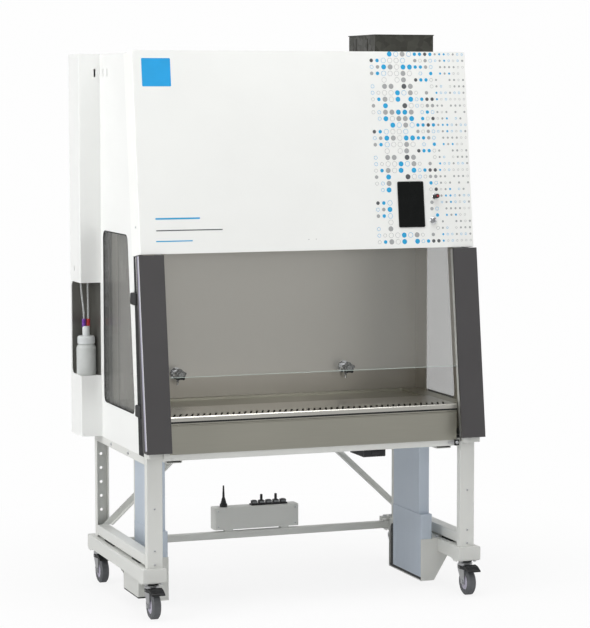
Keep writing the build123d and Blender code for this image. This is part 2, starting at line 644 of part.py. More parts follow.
# Back, roof and floor of the shell
roof_y0 = slope_y(PANEL_DEPTH + SHEET, CAB_TOP)
floor_y0 = front_y1
shell_x = CAB_HALF
back = block(-shell_x, shell_x, CAB_BACK - SHEET, CAB_BACK, STAND_TOP, CAB_TOP)
roof = block(-PANEL_IN, PANEL_IN, roof_y0, CAB_BACK - SHEET, CAB_TOP - SHEET, CAB_TOP)
roof -= block(DUCT_X0 + DUCT_WALL, DUCT_X1 - DUCT_WALL, DUCT_Y0 + DUCT_WALL, DUCT_Y1 - DUCT_WALL,
              CAB_TOP - SHEET - 1, CAB_TOP + 1)
floor = block(-PANEL_IN, PANEL_IN, floor_y0, CAB_BACK - SHEET, STAND_TOP, STAND_TOP + SHEET)
floor -= block(PANEL_IN - FLANGE_W, PANEL_IN + 1, floor_y0 - 1, panel_low[0] + fold + 1,
               STAND_TOP - 1, STAND_TOP + SHEET + 1)
floor -= block(-PANEL_IN - 1, -PANEL_IN + FLANGE_W, floor_y0 - 1, panel_low[0] + fold + 1,
               STAND_TOP - 1, STAND_TOP + SHEET + 1)
nodes["shell_cover"] = back + roof + floor

# Plenum front behind the fascia, with the fixed hinge knuckles and the lamp holders
front_z0 = LINER_TOP + SHEET
wall_d0 = PANEL_DEPTH + SHEET
wall_points = [(slope_y(wall_d0, front_z0), front_z0), (slope_y(wall_d0 + SHEET, front_z0), front_z0),
               (slope_y(wall_d0 + SHEET, CAB_TOP - SHEET), CAB_TOP - SHEET),
               (slope_y(wall_d0, CAB_TOP - SHEET), CAB_TOP - SHEET)]
plenum_front = side_plate(wall_points, -PANEL_IN, PANEL_IN)
fixed = None
for side in (-1, 1):
    for k0, k1 in ((HINGE_X - 20, HINGE_X - 0.5), (HINGE_X + HINGE_L + 0.5, HINGE_X + HINGE_L + 20)):
        x0 = min(side * k0, side * k1)
        x1 = max(side * k0, side * k1)
        knuckle = rod_x(HINGE_R, x0, x1, HINGE_DEPTH, -HINGE_S)
        knuckle += block(x0, x1, HINGE_DEPTH, wall_d0, -HINGE_S - 2, -HINGE_S + 2)
        fixed = knuckle if fixed is None else fixed + knuckle
    pin_x0 = min(side * (HINGE_X - 20), side * (HINGE_X + HINGE_L + 20))
    fixed += rod_x(HINGE_PIN_D / 2, pin_x0, pin_x0 + HINGE_L + 40, HINGE_DEPTH, -HINGE_S)
lamp_y = slope_y(LAMP_DEPTH, LAMP_Z)
holder = block(LAMP_HALF - 40, LAMP_HALF - 25, lamp_y - 12, slope_y(wall_d0, LAMP_Z) + 1,
               LAMP_Z - 12, LAMP_Z + 12)
holder -= rod_x(LAMP_D / 2 + FIT, LAMP_HALF - 41, LAMP_HALF - 24, lamp_y, LAMP_Z)
holder -= side_plate([(wall_points[0][0] + 40, 1300), (wall_points[0][0] + 40, 1600),
                      (slope_y(wall_d0 + 0.5, 1600), 1600), (slope_y(wall_d0 + 0.5, 1300), 1300)],
                     LAMP_HALF - 41, LAMP_HALF - 24)
nodes["plenum_front"] = plenum_front + on_slope(fixed) + holder + mirror(holder, about=Plane.YZ)
nodes["lamp"] = rod_x(LAMP_D / 2, -LAMP_HALF, LAMP_HALF, lamp_y, LAMP_Z)

# Stainless work chamber: liner, air diffuser, drain pan, trays, grille, apron
liner_y1 = LINER_BACK + SHEET
liner_points = [(slope_y(GUIDE_REAR, PAN_Z0), PAN_Z0), (LINER_BACK, PAN_Z0), (LINER_BACK, LINER_TOP),
                (slope_y(GUIDE_REAR, LINER_TOP), LINER_TOP)]
liner_side = side_plate(liner_points, LINER_HALF, liner_out)
liner_side -= side_plate(window_outline(LINER_WIN_REAR, 0), LINER_HALF - 1, liner_out + 1, WIN_R)
liner_back = block(-liner_out, liner_out, LINER_BACK, liner_y1, PAN_Z0, LINER_TOP)
nodes["inner_liner"] = liner_back + liner_side + mirror(liner_side, about=Plane.YZ)

diff_y0 = slope_y(wall_d0, front_z0)
diffuser = block(-liner_out, liner_out, diff_y0, liner_y1, LINER_TOP, front_z0)
diff_pitch = 2 * (LINER_HALF - 20) / DIFF_SLOTS
diff_depth = (LINER_BACK - diff_y0 - 60) / 2
for number in range(DIFF_SLOTS):
    slot_x = -LINER_HALF + 20 + diff_pitch * (number + 0.5)
    for row in range(2):
        slot_y0 = diff_y0 + 20 + row * (diff_depth + 20)
        diffuser -= block(slot_x - DIFF_SLOT_W / 2, slot_x + DIFF_SLOT_W / 2, slot_y0, slot_y0 + diff_depth,
                          LINER_TOP - 1, front_z0 + 1)
nodes["air_diffuser"] = diffuser

apron_y1 = front_y0
apron_y0 = apron_y1 - SHEET
pan_front = apron_y1
wide_y0 = slope_y(GUIDE_REAR, WORKTOP) + 3
pan_half = LINER_HALF - TRAY_GAP
pan_back = LINER_BACK - TRAY_GAP
pan_face = Polygon((-APRON_HALF, pan_front), (APRON_HALF, pan_front), (APRON_HALF, wide_y0),
                   (pan_half, wide_y0), (pan_half, pan_back), (-pan_half, pan_back), (-pan_half, wide_y0),
                   (-APRON_HALF, wide_y0),
                   align=None)
pan_top = WORKTOP - TRAY_T
pan = Pos(0, 0, PAN_Z0) * extrude(pan_face, pan_top - PAN_Z0)
pan -= Pos(0, 0, PAN_Z0 + SHEET) * extrude(offset(pan_face, -SHEET), pan_top)
rib_x = TRAY_HALF + TRAY_GAP
pan_rib = block(rib_x - SHEET / 2, rib_x + SHEET / 2, wide_y0 + 1, pan_back - 1, PAN_Z0 + SHEET, pan_top)
cross_rib = block(-rib_x, rib_x, TRAY_FRONT - SHEET / 2, TRAY_FRONT + SHEET / 2, PAN_Z0 + SHEET, pan_top)
for number in range(5):
    notch_x = -rib_x + 2 * rib_x * (number + 0.5) / 5
    notch = block(notch_x - 60, notch_x + 60, TRAY_FRONT - 5, TRAY_FRONT + 5, PAN_Z0 + 20, pan_top - 20)
    cross_rib -= notch
pan += pan_rib + mirror(pan_rib, about=Plane.YZ) + cross_rib
nodes["drain_pan"] = pan

tray_y0 = TRAY_FRONT + TRAY_GAP / 2
tray = block(-TRAY_HALF, TRAY_HALF, tray_y0, pan_back, pan_top, WORKTOP)
dish_y1 = pan_back - 2 * TRAY_RIM
dish = top_plate([(-TRAY_HALF + TRAY_RIM, tray_y0 + TRAY_RIM), (TRAY_HALF - TRAY_RIM, tray_y0 + TRAY_RIM),
                  (TRAY_HALF - TRAY_RIM, dish_y1), (-TRAY_HALF + TRAY_RIM, dish_y1)],
                 WORKTOP - TRAY_DISH - TRAY_T, WORKTOP - 0.5, 12)
hollow = top_plate([(-TRAY_HALF + TRAY_RIM + TRAY_T, tray_y0 + TRAY_RIM + TRAY_T),
                    (TRAY_HALF - TRAY_RIM - TRAY_T, tray_y0 + TRAY_RIM + TRAY_T),
                    (TRAY_HALF - TRAY_RIM - TRAY_T, dish_y1 - TRAY_T),
                    (-TRAY_HALF + TRAY_RIM + TRAY_T, dish_y1 - TRAY_T)],
                   WORKTOP - TRAY_DISH, WORKTOP + 1, 10)
tray = tray + dish - hollow
slot_pitch = 2 * (TRAY_HALF - TRAY_RIM) / REAR_SLOTS
slot_y = (dish_y1 + pan_back) / 2
for number in range(REAR_SLOTS):
    slot_x = -TRAY_HALF + TRAY_RIM + slot_pitch * (number + 0.5)
    tray -= block(slot_x - slot_pitch * 0.3, slot_x + slot_pitch * 0.3, slot_y - 3.5, slot_y + 3.5,
                  pan_top - 1, WORKTOP + 1)
side_tray = block(TRAY_HALF + 2 * TRAY_GAP, pan_half, wide_y0, pan_back, pan_top, WORKTOP)
nodes["work_tray"] = gather(tray, both(side_tray))

grille_y1 = TRAY_FRONT - TRAY_GAP / 2
nose_z0 = WORKTOP - GRILLE_NOSE_H
grille_points = [(GRILLE_FRONT, nose_z0), (GRILLE_FRONT, WORKTOP - 3), (GRILLE_FRONT + 3, WORKTOP),
                 (grille_y1, WORKTOP), (grille_y1, pan_top), (GRILLE_FRONT + 4, pan_top),
                 (GRILLE_FRONT + TRAY_T, pan_top - 2), (GRILLE_FRONT + TRAY_T, nose_z0)]
grille = side_plate(grille_points, -TRAY_HALF, TRAY_HALF)
field = TRAY_HALF - 14
grille_pitch = (2 * field - GRILLE_SLANT) / GRILLE_SLOTS
slots = []
for number in range(GRILLE_SLOTS):
    slot_x = -field + grille_pitch * (number + 0.5)
    x_near = slot_x - GRILLE_SLOT_W / 2
    slots.append(Polygon((x_near, GRILLE_SLOT_Y0), (x_near + GRILLE_SLOT_W, GRILLE_SLOT_Y0),
                         (x_near + GRILLE_SLOT_W + GRILLE_SLANT, GRILLE_SLOT_Y1),
                         (x_near + GRILLE_SLANT, GRILLE_SLOT_Y1), align=None))
cutters = [extrude(Plane.XY.offset(pan_top - 1) * slot, TRAY_T + 2, dir=(0, 0, 1)) for slot in slots]
nodes["front_grille"] = grille - cutters

apron_z0 = FRONT_BEAM_Z1 - 4
bead_z = APRON_TOP - APRON_BEAD_DROP
bend = SHEET * 0.5
apron_points = [(apron_y0, apron_z0), (apron_y0, bead_z - 2 * APRON_BEAD),
                (apron_y0 - APRON_BEAD, bead_z - APRON_BEAD), (apron_y0 - APRON_BEAD, bead_z + APRON_BEAD),
                (apron_y0, bead_z + 2 * APRON_BEAD), (apron_y0, APRON_TOP - bend),
                (apron_y0 + bend, APRON_TOP), (apron_y1, APRON_TOP), (apron_y1, apron_z0)]
nodes["front_apron"] = side_plate(apron_points, -APRON_HALF, APRON_HALF)

# Sash guides, seals, clamps and pillars
slot_d0 = SASH_DEPTH - SLOT_PLAY
slot_d1 = SASH_DEPTH + SASH_T + SLOT_PLAY
web_x0 = SASH_HALF + GUIDE_WEB
web_x1 = web_x0 + GUIDE_WEB
lip_x0 = web_x0 - GUIDE_LIP
rear_lip_d = slot_d1 + GUIDE_LIP_T
pillar_s0 = FASCIA_L + PILLAR_GAP
guide_s1 = slope_s(slot_d0 - GUIDE_LIP_T, STAND_TOP) + 20


def guide_profile(points, s0, s1):
    # A guide section: points are (x, depth), run down the slope from s0 to s1.
    face = Polygon(*points, align=None)
    return extrude(Plane.XY.offset(-s1) * face, s1 - s0, dir=(0, 0, 1))


lips = [(lip_x0, slot_d0 - GUIDE_LIP_T), (web_x1, slot_d0 - GUIDE_LIP_T), (web_x1, rear_lip_d),
        (lip_x0, rear_lip_d), (lip_x0, slot_d1), (web_x0, slot_d1), (web_x0, slot_d0), (lip_x0, slot_d0)]
guide = guide_profile(lips, GUIDE_TOP_S, guide_s1)
hanger = [(web_x1 - SHEET, rear_lip_d), (web_x1, rear_lip_d), (web_x1, wall_d0), (web_x1 - SHEET, wall_d0)]
guide += guide_profile(hanger, GUIDE_TOP_S, slope_s(wall_d0, front_z0) - 1)
frame_outer = [(web_x1 - SHEET, rear_lip_d), (CAB_HALF, rear_lip_d), (CAB_HALF, GUIDE_REAR),
               (web_x1 - SHEET, GUIDE_REAR)]
frame_inner = [(web_x1, rear_lip_d + SHEET), (CAB_HALF - SHEET, rear_lip_d + SHEET),
               (CAB_HALF - SHEET, GUIDE_REAR - SHEET), (web_x1, GUIDE_REAR - SHEET)]
frame_bore = guide_profile(frame_inner, pillar_s0 - 1, guide_s1 + 1)
guide += guide_profile(frame_outer, pillar_s0, guide_s1) - frame_bore
pillar_wall = PILLAR_OUT - SHEET
wing = [(CAB_HALF, rear_lip_d + 2), (pillar_wall, rear_lip_d + 2), (pillar_wall, rear_lip_d + 5),
        (CAB_HALF, rear_lip_d + 5)]
pillar_s1 = slope_s(-PILLAR_PROUD, PILLAR_FOOT_Z)
guide += guide_profile(wing, pillar_s0 + 4, pillar_s1 - 6)
guide = on_slope(guide)
guide &= block(0, 2 * CAB_HALF, -1000, 1000, STAND_TOP, CAB_TOP - SHEET)
nodes["sash_guides"] = both(guide)

seal_points = [(slope_y(GUIDE_REAR, STAND_TOP), STAND_TOP), panel_low, panel_knee,
               (slope_y(GUIDE_REAR, knee_z), knee_z)]
seal = side_plate(seal_points, CAB_HALF - SEAL_W, CAB_HALF)
nodes["guide_seals"] = both(seal)

clamp_solids = []
for clamp_y, clamp_z in CLAMPS:
    half_l = CLAMP_L / 2
    half_h = CLAMP_H / 2
    plan = [(clamp_y - half_l, clamp_z - half_h), (clamp_y + half_l, clamp_z - half_h),
            (clamp_y + half_l, clamp_z + half_h), (clamp_y - half_l, clamp_z + half_h)]
    clamp = side_plate(plan, CAB_HALF, CAB_HALF + CLAMP_T, 6)
    clamp = chamfer(clamp.faces().sort_by(Axis.X)[-1].edges(), 3)
    clamp_solids.append(clamp)
nodes["guide_clamps"] = both(gather(*clamp_solids))

pillar_in = PILLAR_OUT - PILLAR_W
pillar_back = slot_d0 - GUIDE_LIP_T
section = [(pillar_in, -PILLAR_PROUD), (PILLAR_OUT, -PILLAR_PROUD), (PILLAR_OUT, -PILLAR_PROUD + SHEET),
           (pillar_in + SHEET, -PILLAR_PROUD + SHEET), (pillar_in + SHEET, pillar_back - SHEET),
           (web_x1, pillar_back - SHEET), (web_x1, pillar_back), (pillar_in, pillar_back)]
pillar = on_slope(guide_profile(section, pillar_s0, pillar_s1))
cheek = side_plate([slope_pt(-PILLAR_PROUD, pillar_s1),
                    (slope_y(PILLAR_SIDE_LOW, PILLAR_FOOT_Z), PILLAR_FOOT_Z),
                    slope_pt(PILLAR_SIDE_TOP, pillar_s0), slope_pt(-PILLAR_PROUD, pillar_s0)],
                   pillar_wall, PILLAR_OUT)
cap = side_plate([slope_pt(-PILLAR_PROUD, pillar_s0), slope_pt(PILLAR_SIDE_TOP, pillar_s0),
                  slope_pt(PILLAR_SIDE_TOP, pillar_s0 + SHEET), slope_pt(-PILLAR_PROUD, pillar_s0 + SHEET)],
                 CAB_HALF + PLAY, PILLAR_OUT)
nodes["pillars"] = both(pillar + cheek + cap)

# Sash glass and its counterweights in the side walls
sash_s1 = slope_s(SASH_DEPTH, SASH_FOOT_Z)
sash_face = Pos(0, -sash_s1 + SASH_L / 2) * RectangleRounded(2 * SASH_HALF, SASH_L, 6)
sash = extrude(Plane.XZ.offset(-(SASH_DEPTH + SASH_T)) * sash_face, SASH_T)
nodes["sash"] = on_slope(sash)

weight_x0 = liner_out + PLAY
weight = block(weight_x0, weight_x0 + WEIGHT_T, WEIGHT_Y0, WEIGHT_Y0 + WEIGHT_W,
               WEIGHT_Z0, WEIGHT_Z0 + WEIGHT_H)
weight = chamfer(weight.edges().filter_by(Axis.Y), 3)
nodes["counterweights"] = both(weight)

# Guide rails of the counterweights, carried by the shell back
rail_y0 = WEIGHT_Y0 - PLAY - SHEET
rail_y1 = WEIGHT_Y0 + WEIGHT_W + PLAY + SHEET
rail_z0 = STAND_TOP + SHEET
rail_z1 = WEIGHT_Z0 + WEIGHT_H + SASH_DROP + 20
channel_out = PANEL_IN
channel_in = weight_x0 - PLAY - SHEET
weight_rail = block(channel_in, channel_out, rail_y0, rail_y1, rail_z0, rail_z1)
weight_rail -= block(channel_in + SHEET, channel_out + 1, rail_y0 + SHEET, rail_y1 - SHEET,
                     rail_z0 - 1, rail_z1 + 1)
nodes["weight_rails"] = both(weight_rail)

# Filters, blower and impeller
filter_y0 = slope_y(wall_d0 + SHEET, front_z0 + FILTER_H) + FILTER_SIDE + 14
filter_z1 = front_z0 + FILTER_H
supply = block(-LINER_HALF + FILTER_SIDE, LINER_HALF - FILTER_SIDE, filter_y0, LINER_BACK - 4,
               front_z0, filter_z1)
supply -= block(-LINER_HALF + FILTER_SIDE + 12, LINER_HALF - FILTER_SIDE - 12,
                filter_y0 + 12, LINER_BACK - 16, filter_z1 - 8, filter_z1 + 1)
exhaust = block(DUCT_X0 - 12, DUCT_X1 + 12, DUCT_Y0 - 12, DUCT_Y1 + 12,
                CAB_TOP - SHEET - EXHAUST_H, CAB_TOP - SHEET)
exhaust -= block(DUCT_X0 + 4, DUCT_X1 - 4, DUCT_Y0 + 4, DUCT_Y1 - 4, CAB_TOP - SHEET - 8, CAB_TOP)
nodes["filters"] = gather(supply, exhaust)


def scroll_points(gap, neck_x0, neck_x1, neck_z):
    # Spiral casing outline round the fan axis, closed by the outlet neck below.
    points = []
    steps = 26
    for step in range(steps + 1):
        turn = step / steps
        angle = math.radians(200 - 290 * turn)
        radius = FAN_R + gap + SCROLL_GROW * turn
        points.append((FAN_X + radius * math.cos(angle), FAN_Z + radius * math.sin(angle)))
    points.append((neck_x1, neck_z))
    points.append((neck_x0, neck_z))
    return points


neck_x0 = FAN_X - (FAN_R + SCROLL_GAP) * 0.94
neck_x1 = FAN_X + 10
fan_y1 = FAN_Y0 + FAN_W
case_y0 = FAN_Y0 - 14
case_y1 = fan_y1 + 8
case = front_plate(scroll_points(SCROLL_GAP + SHEET, neck_x0 - SHEET, neck_x1 + SHEET, filter_z1),
                   case_y0 - SHEET, case_y1 + SHEET)
case -= front_plate(scroll_points(SCROLL_GAP, neck_x0, neck_x1, filter_z1 - 1), case_y0, case_y1)
case -= rod_y(SCROLL_INLET, case_y0 - SHEET - 1, case_y0 + 1, FAN_X, FAN_Z)
motor = rod_y(MOTOR_D / 2, case_y1 + SHEET, case_y1 + SHEET + MOTOR_L, FAN_X, FAN_Z)
shaft = rod_y(SHAFT_D / 2, fan_y1 - 60, case_y1 + SHEET + 1, FAN_X, FAN_Z)
nodes["blower_housing"] = case + motor + shaft

hub = rod_y(22, fan_y1 - 44, fan_y1, 0, 0)
plate = rod_y(FAN_R, fan_y1 - 3, fan_y1, 0, 0)
ring = rod_y(FAN_R, FAN_Y0, FAN_Y0 + 3, 0, 0) - rod_y(FAN_R - 20, FAN_Y0 - 1, FAN_Y0 + 4, 0, 0)
rotor = plate + hub
blade = Pos(FAN_R - 11, (FAN_Y0 + fan_y1) / 2, 0) * Rot(0, 28, 0) * Box(20, FAN_W - 2, 2)
for number in range(FAN_BLADES):
    rotor += Rot(0, number * 360 / FAN_BLADES, 0) * blade
rotor += ring
rotor -= rod_y(SHAFT_D / 2 + FIT, fan_y1 - 45, fan_y1 + 1, 0, 0)
rotor &= rod_y(FAN_R, FAN_Y0 - 1, fan_y1 + 1, 0, 0)
nodes["impeller"] = Pos(FAN_X, 0, FAN_Z) * rotor

# Exhaust duct stub on the roof
duct = block(DUCT_X0, DUCT_X1, DUCT_Y0, DUCT_Y1, CAB_TOP, DUCT_TOP)
duct += block(DUCT_X0 - DUCT_BEAD, DUCT_X1 + DUCT_BEAD, DUCT_Y0 - DUCT_BEAD, DUCT_Y1 + DUCT_BEAD,
              DUCT_TOP - DUCT_BEAD, DUCT_TOP)
duct += block(DUCT_X0 - 10, DUCT_X1 + 10, DUCT_Y0 - 10, DUCT_Y1 + 10, CAB_TOP, CAB_TOP + DUCT_WALL)
duct -= block(DUCT_X0 + DUCT_WALL, DUCT_X1 - DUCT_WALL, DUCT_Y0 + DUCT_WALL, DUCT_Y1 - DUCT_WALL,
              CAB_TOP - 1, DUCT_TOP + 1)
duct_mid = (DUCT_Y0 + DUCT_Y1) / 2
for slot_y in (duct_mid - 60, duct_mid + 60):
    duct -= block(DUCT_X0 - 1, DUCT_X0 + DUCT_WALL + 1, slot_y - DUCT_SLOT_W / 2, slot_y + DUCT_SLOT_W / 2,
                  CAB_TOP + 14, DUCT_TOP - 14)
nodes["duct"] = duct

# Fascia: folded pan with moving hinge knuckles, touchscreen, push switch and key switch
pan_outline = Pos(0, -FASCIA_L / 2) * Rectangle(2 * FASCIA_HALF, FASCIA_L)
pan_plate = extrude(Plane.XZ.offset(-FASCIA_DEPTH) * pan_outline, FASCIA_DEPTH)
front_edges = pan_plate.faces().sort_by(Axis.Y)[0].edges().filter_by(Axis.Z)
pan_plate = fillet(front_edges, 4)
fascia = pan_plate - block(-FASCIA_HALF + SHEET, FASCIA_HALF - SHEET, SHEET, FASCIA_DEPTH + 1,
                           -FASCIA_L - 1, -SHEET)
top_end = HINGE_DEPTH - HINGE_R - 2
fascia -= block(-FASCIA_HALF + SHEET, FASCIA_HALF - SHEET, top_end, FASCIA_DEPTH + 1, -SHEET - 1, 1)
for side in (-1, 1):
    x0 = min(side * HINGE_X, side * (HINGE_X + HINGE_L))
    x1 = x0 + HINGE_L
    knuckle = rod_x(HINGE_R, x0, x1, HINGE_DEPTH, -HINGE_S)
    knuckle += block(x0, x1, top_end - 10, HINGE_DEPTH, -HINGE_S + HINGE_R - 2.5, -HINGE_S + HINGE_R)
    knuckle -= rod_x(HINGE_PIN_D / 2 + FIT, x0 - 1, x1 + 1, HINGE_DEPTH, -HINGE_S)
    fascia += knuckle
for hole_x, hole_s in ((ROUND_X, ROUND_S), (KEY_X, KEY_S)):
    fascia -= rod_y(SPINDLE_D / 2 + FIT, -1, SHEET + 1, hole_x, -hole_s)
nodes["fascia"] = on_slope(fascia)

screen_place = Pos((DISPLAY_X0 + DISPLAY_X1) / 2, -(DISPLAY_S0 + DISPLAY_S1) / 2)
screen_outline = RectangleRounded(DISPLAY_X1 - DISPLAY_X0, DISPLAY_S1 - DISPLAY_S0, 5)
screen = extrude(Plane.XZ * screen_place * screen_outline, DISPLAY_T)
screen = chamfer(screen.faces().sort_by(Axis.Y)[0].edges(), 1.2)
nodes["display"] = on_slope(screen)

knob = rod_y(ROUND_D / 2, -ROUND_L, -PLAY, ROUND_X, -ROUND_S)
knob = chamfer(knob.faces().sort_by(Axis.Y)[0].edges(), 1.5)
knob += rod_y(SPINDLE_D / 2, -PLAY, SHEET + 4, ROUND_X, -ROUND_S)
nodes["round_switch"] = on_slope(knob)

key = rod_y(KEY_D / 2, -9, -PLAY, KEY_X, -KEY_S)
key = chamfer(key.faces().sort_by(Axis.Y)[0].edges(), 1.5)
key += rod_y(SPINDLE_D / 2, -PLAY, SHEET + 4, KEY_X, -KEY_S)
key += block(KEY_X - 1.2, KEY_X + 1.2, -30, -9, -KEY_S - 8, -KEY_S + 8)
key -= block(KEY_X - 2, KEY_X + 2, -27, -21, -KEY_S - 3, -KEY_S + 3)
nodes["key_switch"] = on_slope(key)

# Service column with the niche
col_x0 = -CAB_HALF - COLUMN_W
col_x1 = -CAB_HALF
column = block(col_x0, col_x1, COLUMN_Y0, CAB_BACK, STAND_TOP + SHEET, CAB_TOP)
corner_edges = column.edges().filter_by(Axis.Z).sort_by(Axis.X)[:2]
column = fillet(corner_edges, 4)
core_x0 = col_x0 + SHEET
core_x1 = col_x1 - SHEET
core_y0 = COLUMN_Y0 + SHEET
core_y1 = CAB_BACK - SHEET
column -= block(core_x0, core_x1, core_y0, core_y1, STAND_TOP, NICHE_Z0 - SHEET)
column -= block(core_x0, core_x1, core_y0, core_y1, NICHE_Z1 + SHEET, CAB_TOP - SHEET)
column -= block(core_x0, core_x1, core_y0, core_y1, NICHE_Z0, NICHE_Z1)
mouth_z0 = NICHE_Z0 + NICHE_LIP
mouth_y1 = core_y1 - NICHE_BACK
side_mouth = side_plate([(COLUMN_Y0 - 60, mouth_z0), (mouth_y1, mouth_z0), (mouth_y1, NICHE_Z1),
                         (COLUMN_Y0 - 60, NICHE_Z1)], col_x0 - 1, core_x0 + 1, NICHE_R)
front_mouth = block(col_x0 - 1, core_x1, COLUMN_Y0 - 1, core_y0 + 1, mouth_z0, NICHE_Z1)
column -= side_mouth
column -= front_mouth
slot = Plane.YZ.offset(col_x0 - 1) * Pos(348, 1242) * RectangleRounded(VENT_W, VENT_H * 0.7, 2.5)
column -= extrude(slot, SHEET + 2)
face_slot = Plane.XZ.offset(-core_y0 - 1) * Pos(-672, VENT_Z) * RectangleRounded(VENT_W, VENT_H, 2.5)
column -= extrude(face_slot, SHEET + 2)
nodes["service_column"] = column

# Bottle, cap with couplings, and the two lines to the niche roof
bottle_r = BOTTLE_D / 2
BOTTLE_X = core_x1 - BOTTLE_GAP - bottle_r
bottle_z1 = NICHE_Z0 + BOTTLE_H
bottle_section = Polygon((0, NICHE_Z0), (bottle_r - 4, NICHE_Z0), (bottle_r, NICHE_Z0 + 4),
                         (bottle_r, bottle_z1 - 16), (bottle_r - 3, bottle_z1 - 8),
                         (CAP_D / 2 - 5, bottle_z1), (0, bottle_z1), align=None)
nodes["bottle"] = Pos(BOTTLE_X, BOTTLE_Y, 0) * revolve(Plane.XZ * bottle_section, Axis.Z)
cap_z1 = bottle_z1 + CAP_H
nozzle_z1 = cap_z1 + NOZZLE_H
coupling_z1 = nozzle_z1 + COUPLING_H
cap_section = Polygon((0, bottle_z1), (CAP_D / 2, bottle_z1), (CAP_D / 2, cap_z1 - 4),
                      (CAP_D / 2 - 4, cap_z1), (NOZZLE_D / 2, cap_z1), (NOZZLE_D / 2, nozzle_z1),
                      (0, nozzle_z1), align=None)
cap_solid = Pos(BOTTLE_X, BOTTLE_Y, 0) * revolve(Plane.XZ * cap_section, Axis.Z)
for shift in (-COUPLING_X, COUPLING_X):
    cap_solid += rod_z(COUPLING_D / 2, nozzle_z1, coupling_z1, BOTTLE_X + shift, BOTTLE_Y)
nodes["bottle_cap"] = cap_solid
lines = []
for shift in (-COUPLING_X, COUPLING_X):
    start = Vector(BOTTLE_X + shift, BOTTLE_Y, coupling_z1)
    end = Vector(BOTTLE_X + 1.6 * shift, BOTTLE_Y + 22, NICHE_Z1)
    path = Spline([start, end], tangents=[(0, 0, 1), (0, 0, 1)])
    ring_plane = Plane(origin=start, z_dir=(0, 0, 1))
    lines.append(sweep(ring_plane * Circle(LINE_D / 2), path=path))
nodes["bottle_lines"] = gather(*lines)

# Service taps on the back wall of the chamber
tap_solids = []
tap_face_y = LINER_BACK - TAP_REACH
knob_y1 = tap_face_y - PLAY
knob_y0 = knob_y1 - TAP_KNOB_L
lobes = Circle(TAP_KNOB_D / 2 - 5)
for number in range(5):
    lobes += Rot(0, 0, number * 72 + 18) * Pos(TAP_KNOB_D / 2 - 6, 0) * Circle(6)
for name, tap_x in zip(("left", "right"), TAP_X):
    tap = rod_y(TAP_KNOB_D / 2, LINER_BACK - 5, LINER_BACK, tap_x, TAP_Z)
    tap += rod_y(TAP_BODY_D / 2, tap_face_y, LINER_BACK - 5, tap_x, TAP_Z)
    tap += rod_y(TAP_SPINDLE_D / 2, knob_y0 + 6, tap_face_y, tap_x, TAP_Z)
    spout_y = LINER_BACK - TAP_REACH * 0.55
    spout_section = Polygon((0, 0), (8, 0), (8, -12), (5.5, -15), (6.5, -20), (5, -24), (6.5, -29),
                            (4.5, -35), (4.5, -TAP_SPOUT_DROP), (0, -TAP_SPOUT_DROP), align=None)
    tap += Pos(tap_x, spout_y, TAP_Z) * revolve(Plane.XZ * spout_section, Axis.Z)
    tap_solids.append(tap)
    tap_knob = Pos(tap_x, knob_y1, TAP_Z) * extrude(Plane.XZ * lobes, TAP_KNOB_L)
    tap_knob -= rod_y(TAP_SPINDLE_D / 2 + FIT, knob_y0 + 5, knob_y1 + 1, tap_x, TAP_Z)
    nodes["tap_knob_" + name] = tap_knob
nodes["tap_bodies"] = gather(*tap_solids)

# Hand control under the front beam, with its rocker
hand_z1 = FRONT_BEAM_Z0
hand_z0 = hand_z1 - HAND_H
hand = side_plate([(HAND_Y0, hand_z0 + 6), (HAND_Y0 + 8, hand_z0), (HAND_Y1, hand_z0), (HAND_Y1, hand_z1),
                   (HAND_Y0, hand_z1)], HAND_X0, HAND_X1)
hand = fillet(hand.edges().filter_by(Axis.Z), 3)
rocker_x = (HAND_X0 + HAND_X1) / 2
rocker_z = hand_z0 + HAND_H * 0.58
pocket_w = ROCKER_W + 2
pocket_h = ROCKER_H + 2
hand -= block(rocker_x - pocket_w / 2, rocker_x + pocket_w / 2, HAND_Y0 - 1, HAND_Y0 + 10,
              rocker_z - pocket_h / 2, rocker_z + pocket_h / 2)
hand += rod_x(1.5, rocker_x - pocket_w / 2 - 1, rocker_x + pocket_w / 2 + 1, HAND_Y0 + 4, rocker_z)
nodes["hand_control"] = hand
half = ROCKER_H / 2
rocker_front = HAND_Y0 - 2.5
rocker = side_plate([(rocker_front, rocker_z - half), (HAND_Y0 + 5, rocker_z - half + 1),
                     (HAND_Y0 + 7, rocker_z - 2), (HAND_Y0 + 7, rocker_z + 2),
                     (HAND_Y0 + 5, rocker_z + half - 1),
                     (rocker_front, rocker_z + half), (rocker_front + 1.5, rocker_z)],
                    rocker_x - ROCKER_W / 2, rocker_x + ROCKER_W / 2)
rocker -= rod_x(1.5 + FIT, rocker_x - ROCKER_W, rocker_x + ROCKER_W, HAND_Y0 + 4, rocker_z)
nodes["hand_rocker"] = rocker

# Every node is moved by the same amount, so that the part stands centred on the origin
whole = gather(*nodes.values()).bounding_box()
home = Pos(-(whole.min.X + whole.max.X) / 2, -(whole.min.Y + whole.max.Y) / 2, -whole.min.Z)
for name, shape in nodes.items():
    moved = [home * solid for solid in shape.solids()]
    export_step(moved[0] if len(moved) == 1 else Compound(moved), "parts/" + name + ".step")
print(len(nodes), "nodes, box", whole.min, whole.max)
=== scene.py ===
"""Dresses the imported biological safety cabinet: finishes, printed film, fasteners, seals and stage."""
import math
import random

import bmesh
import bpy
from mathutils import Matrix, Vector


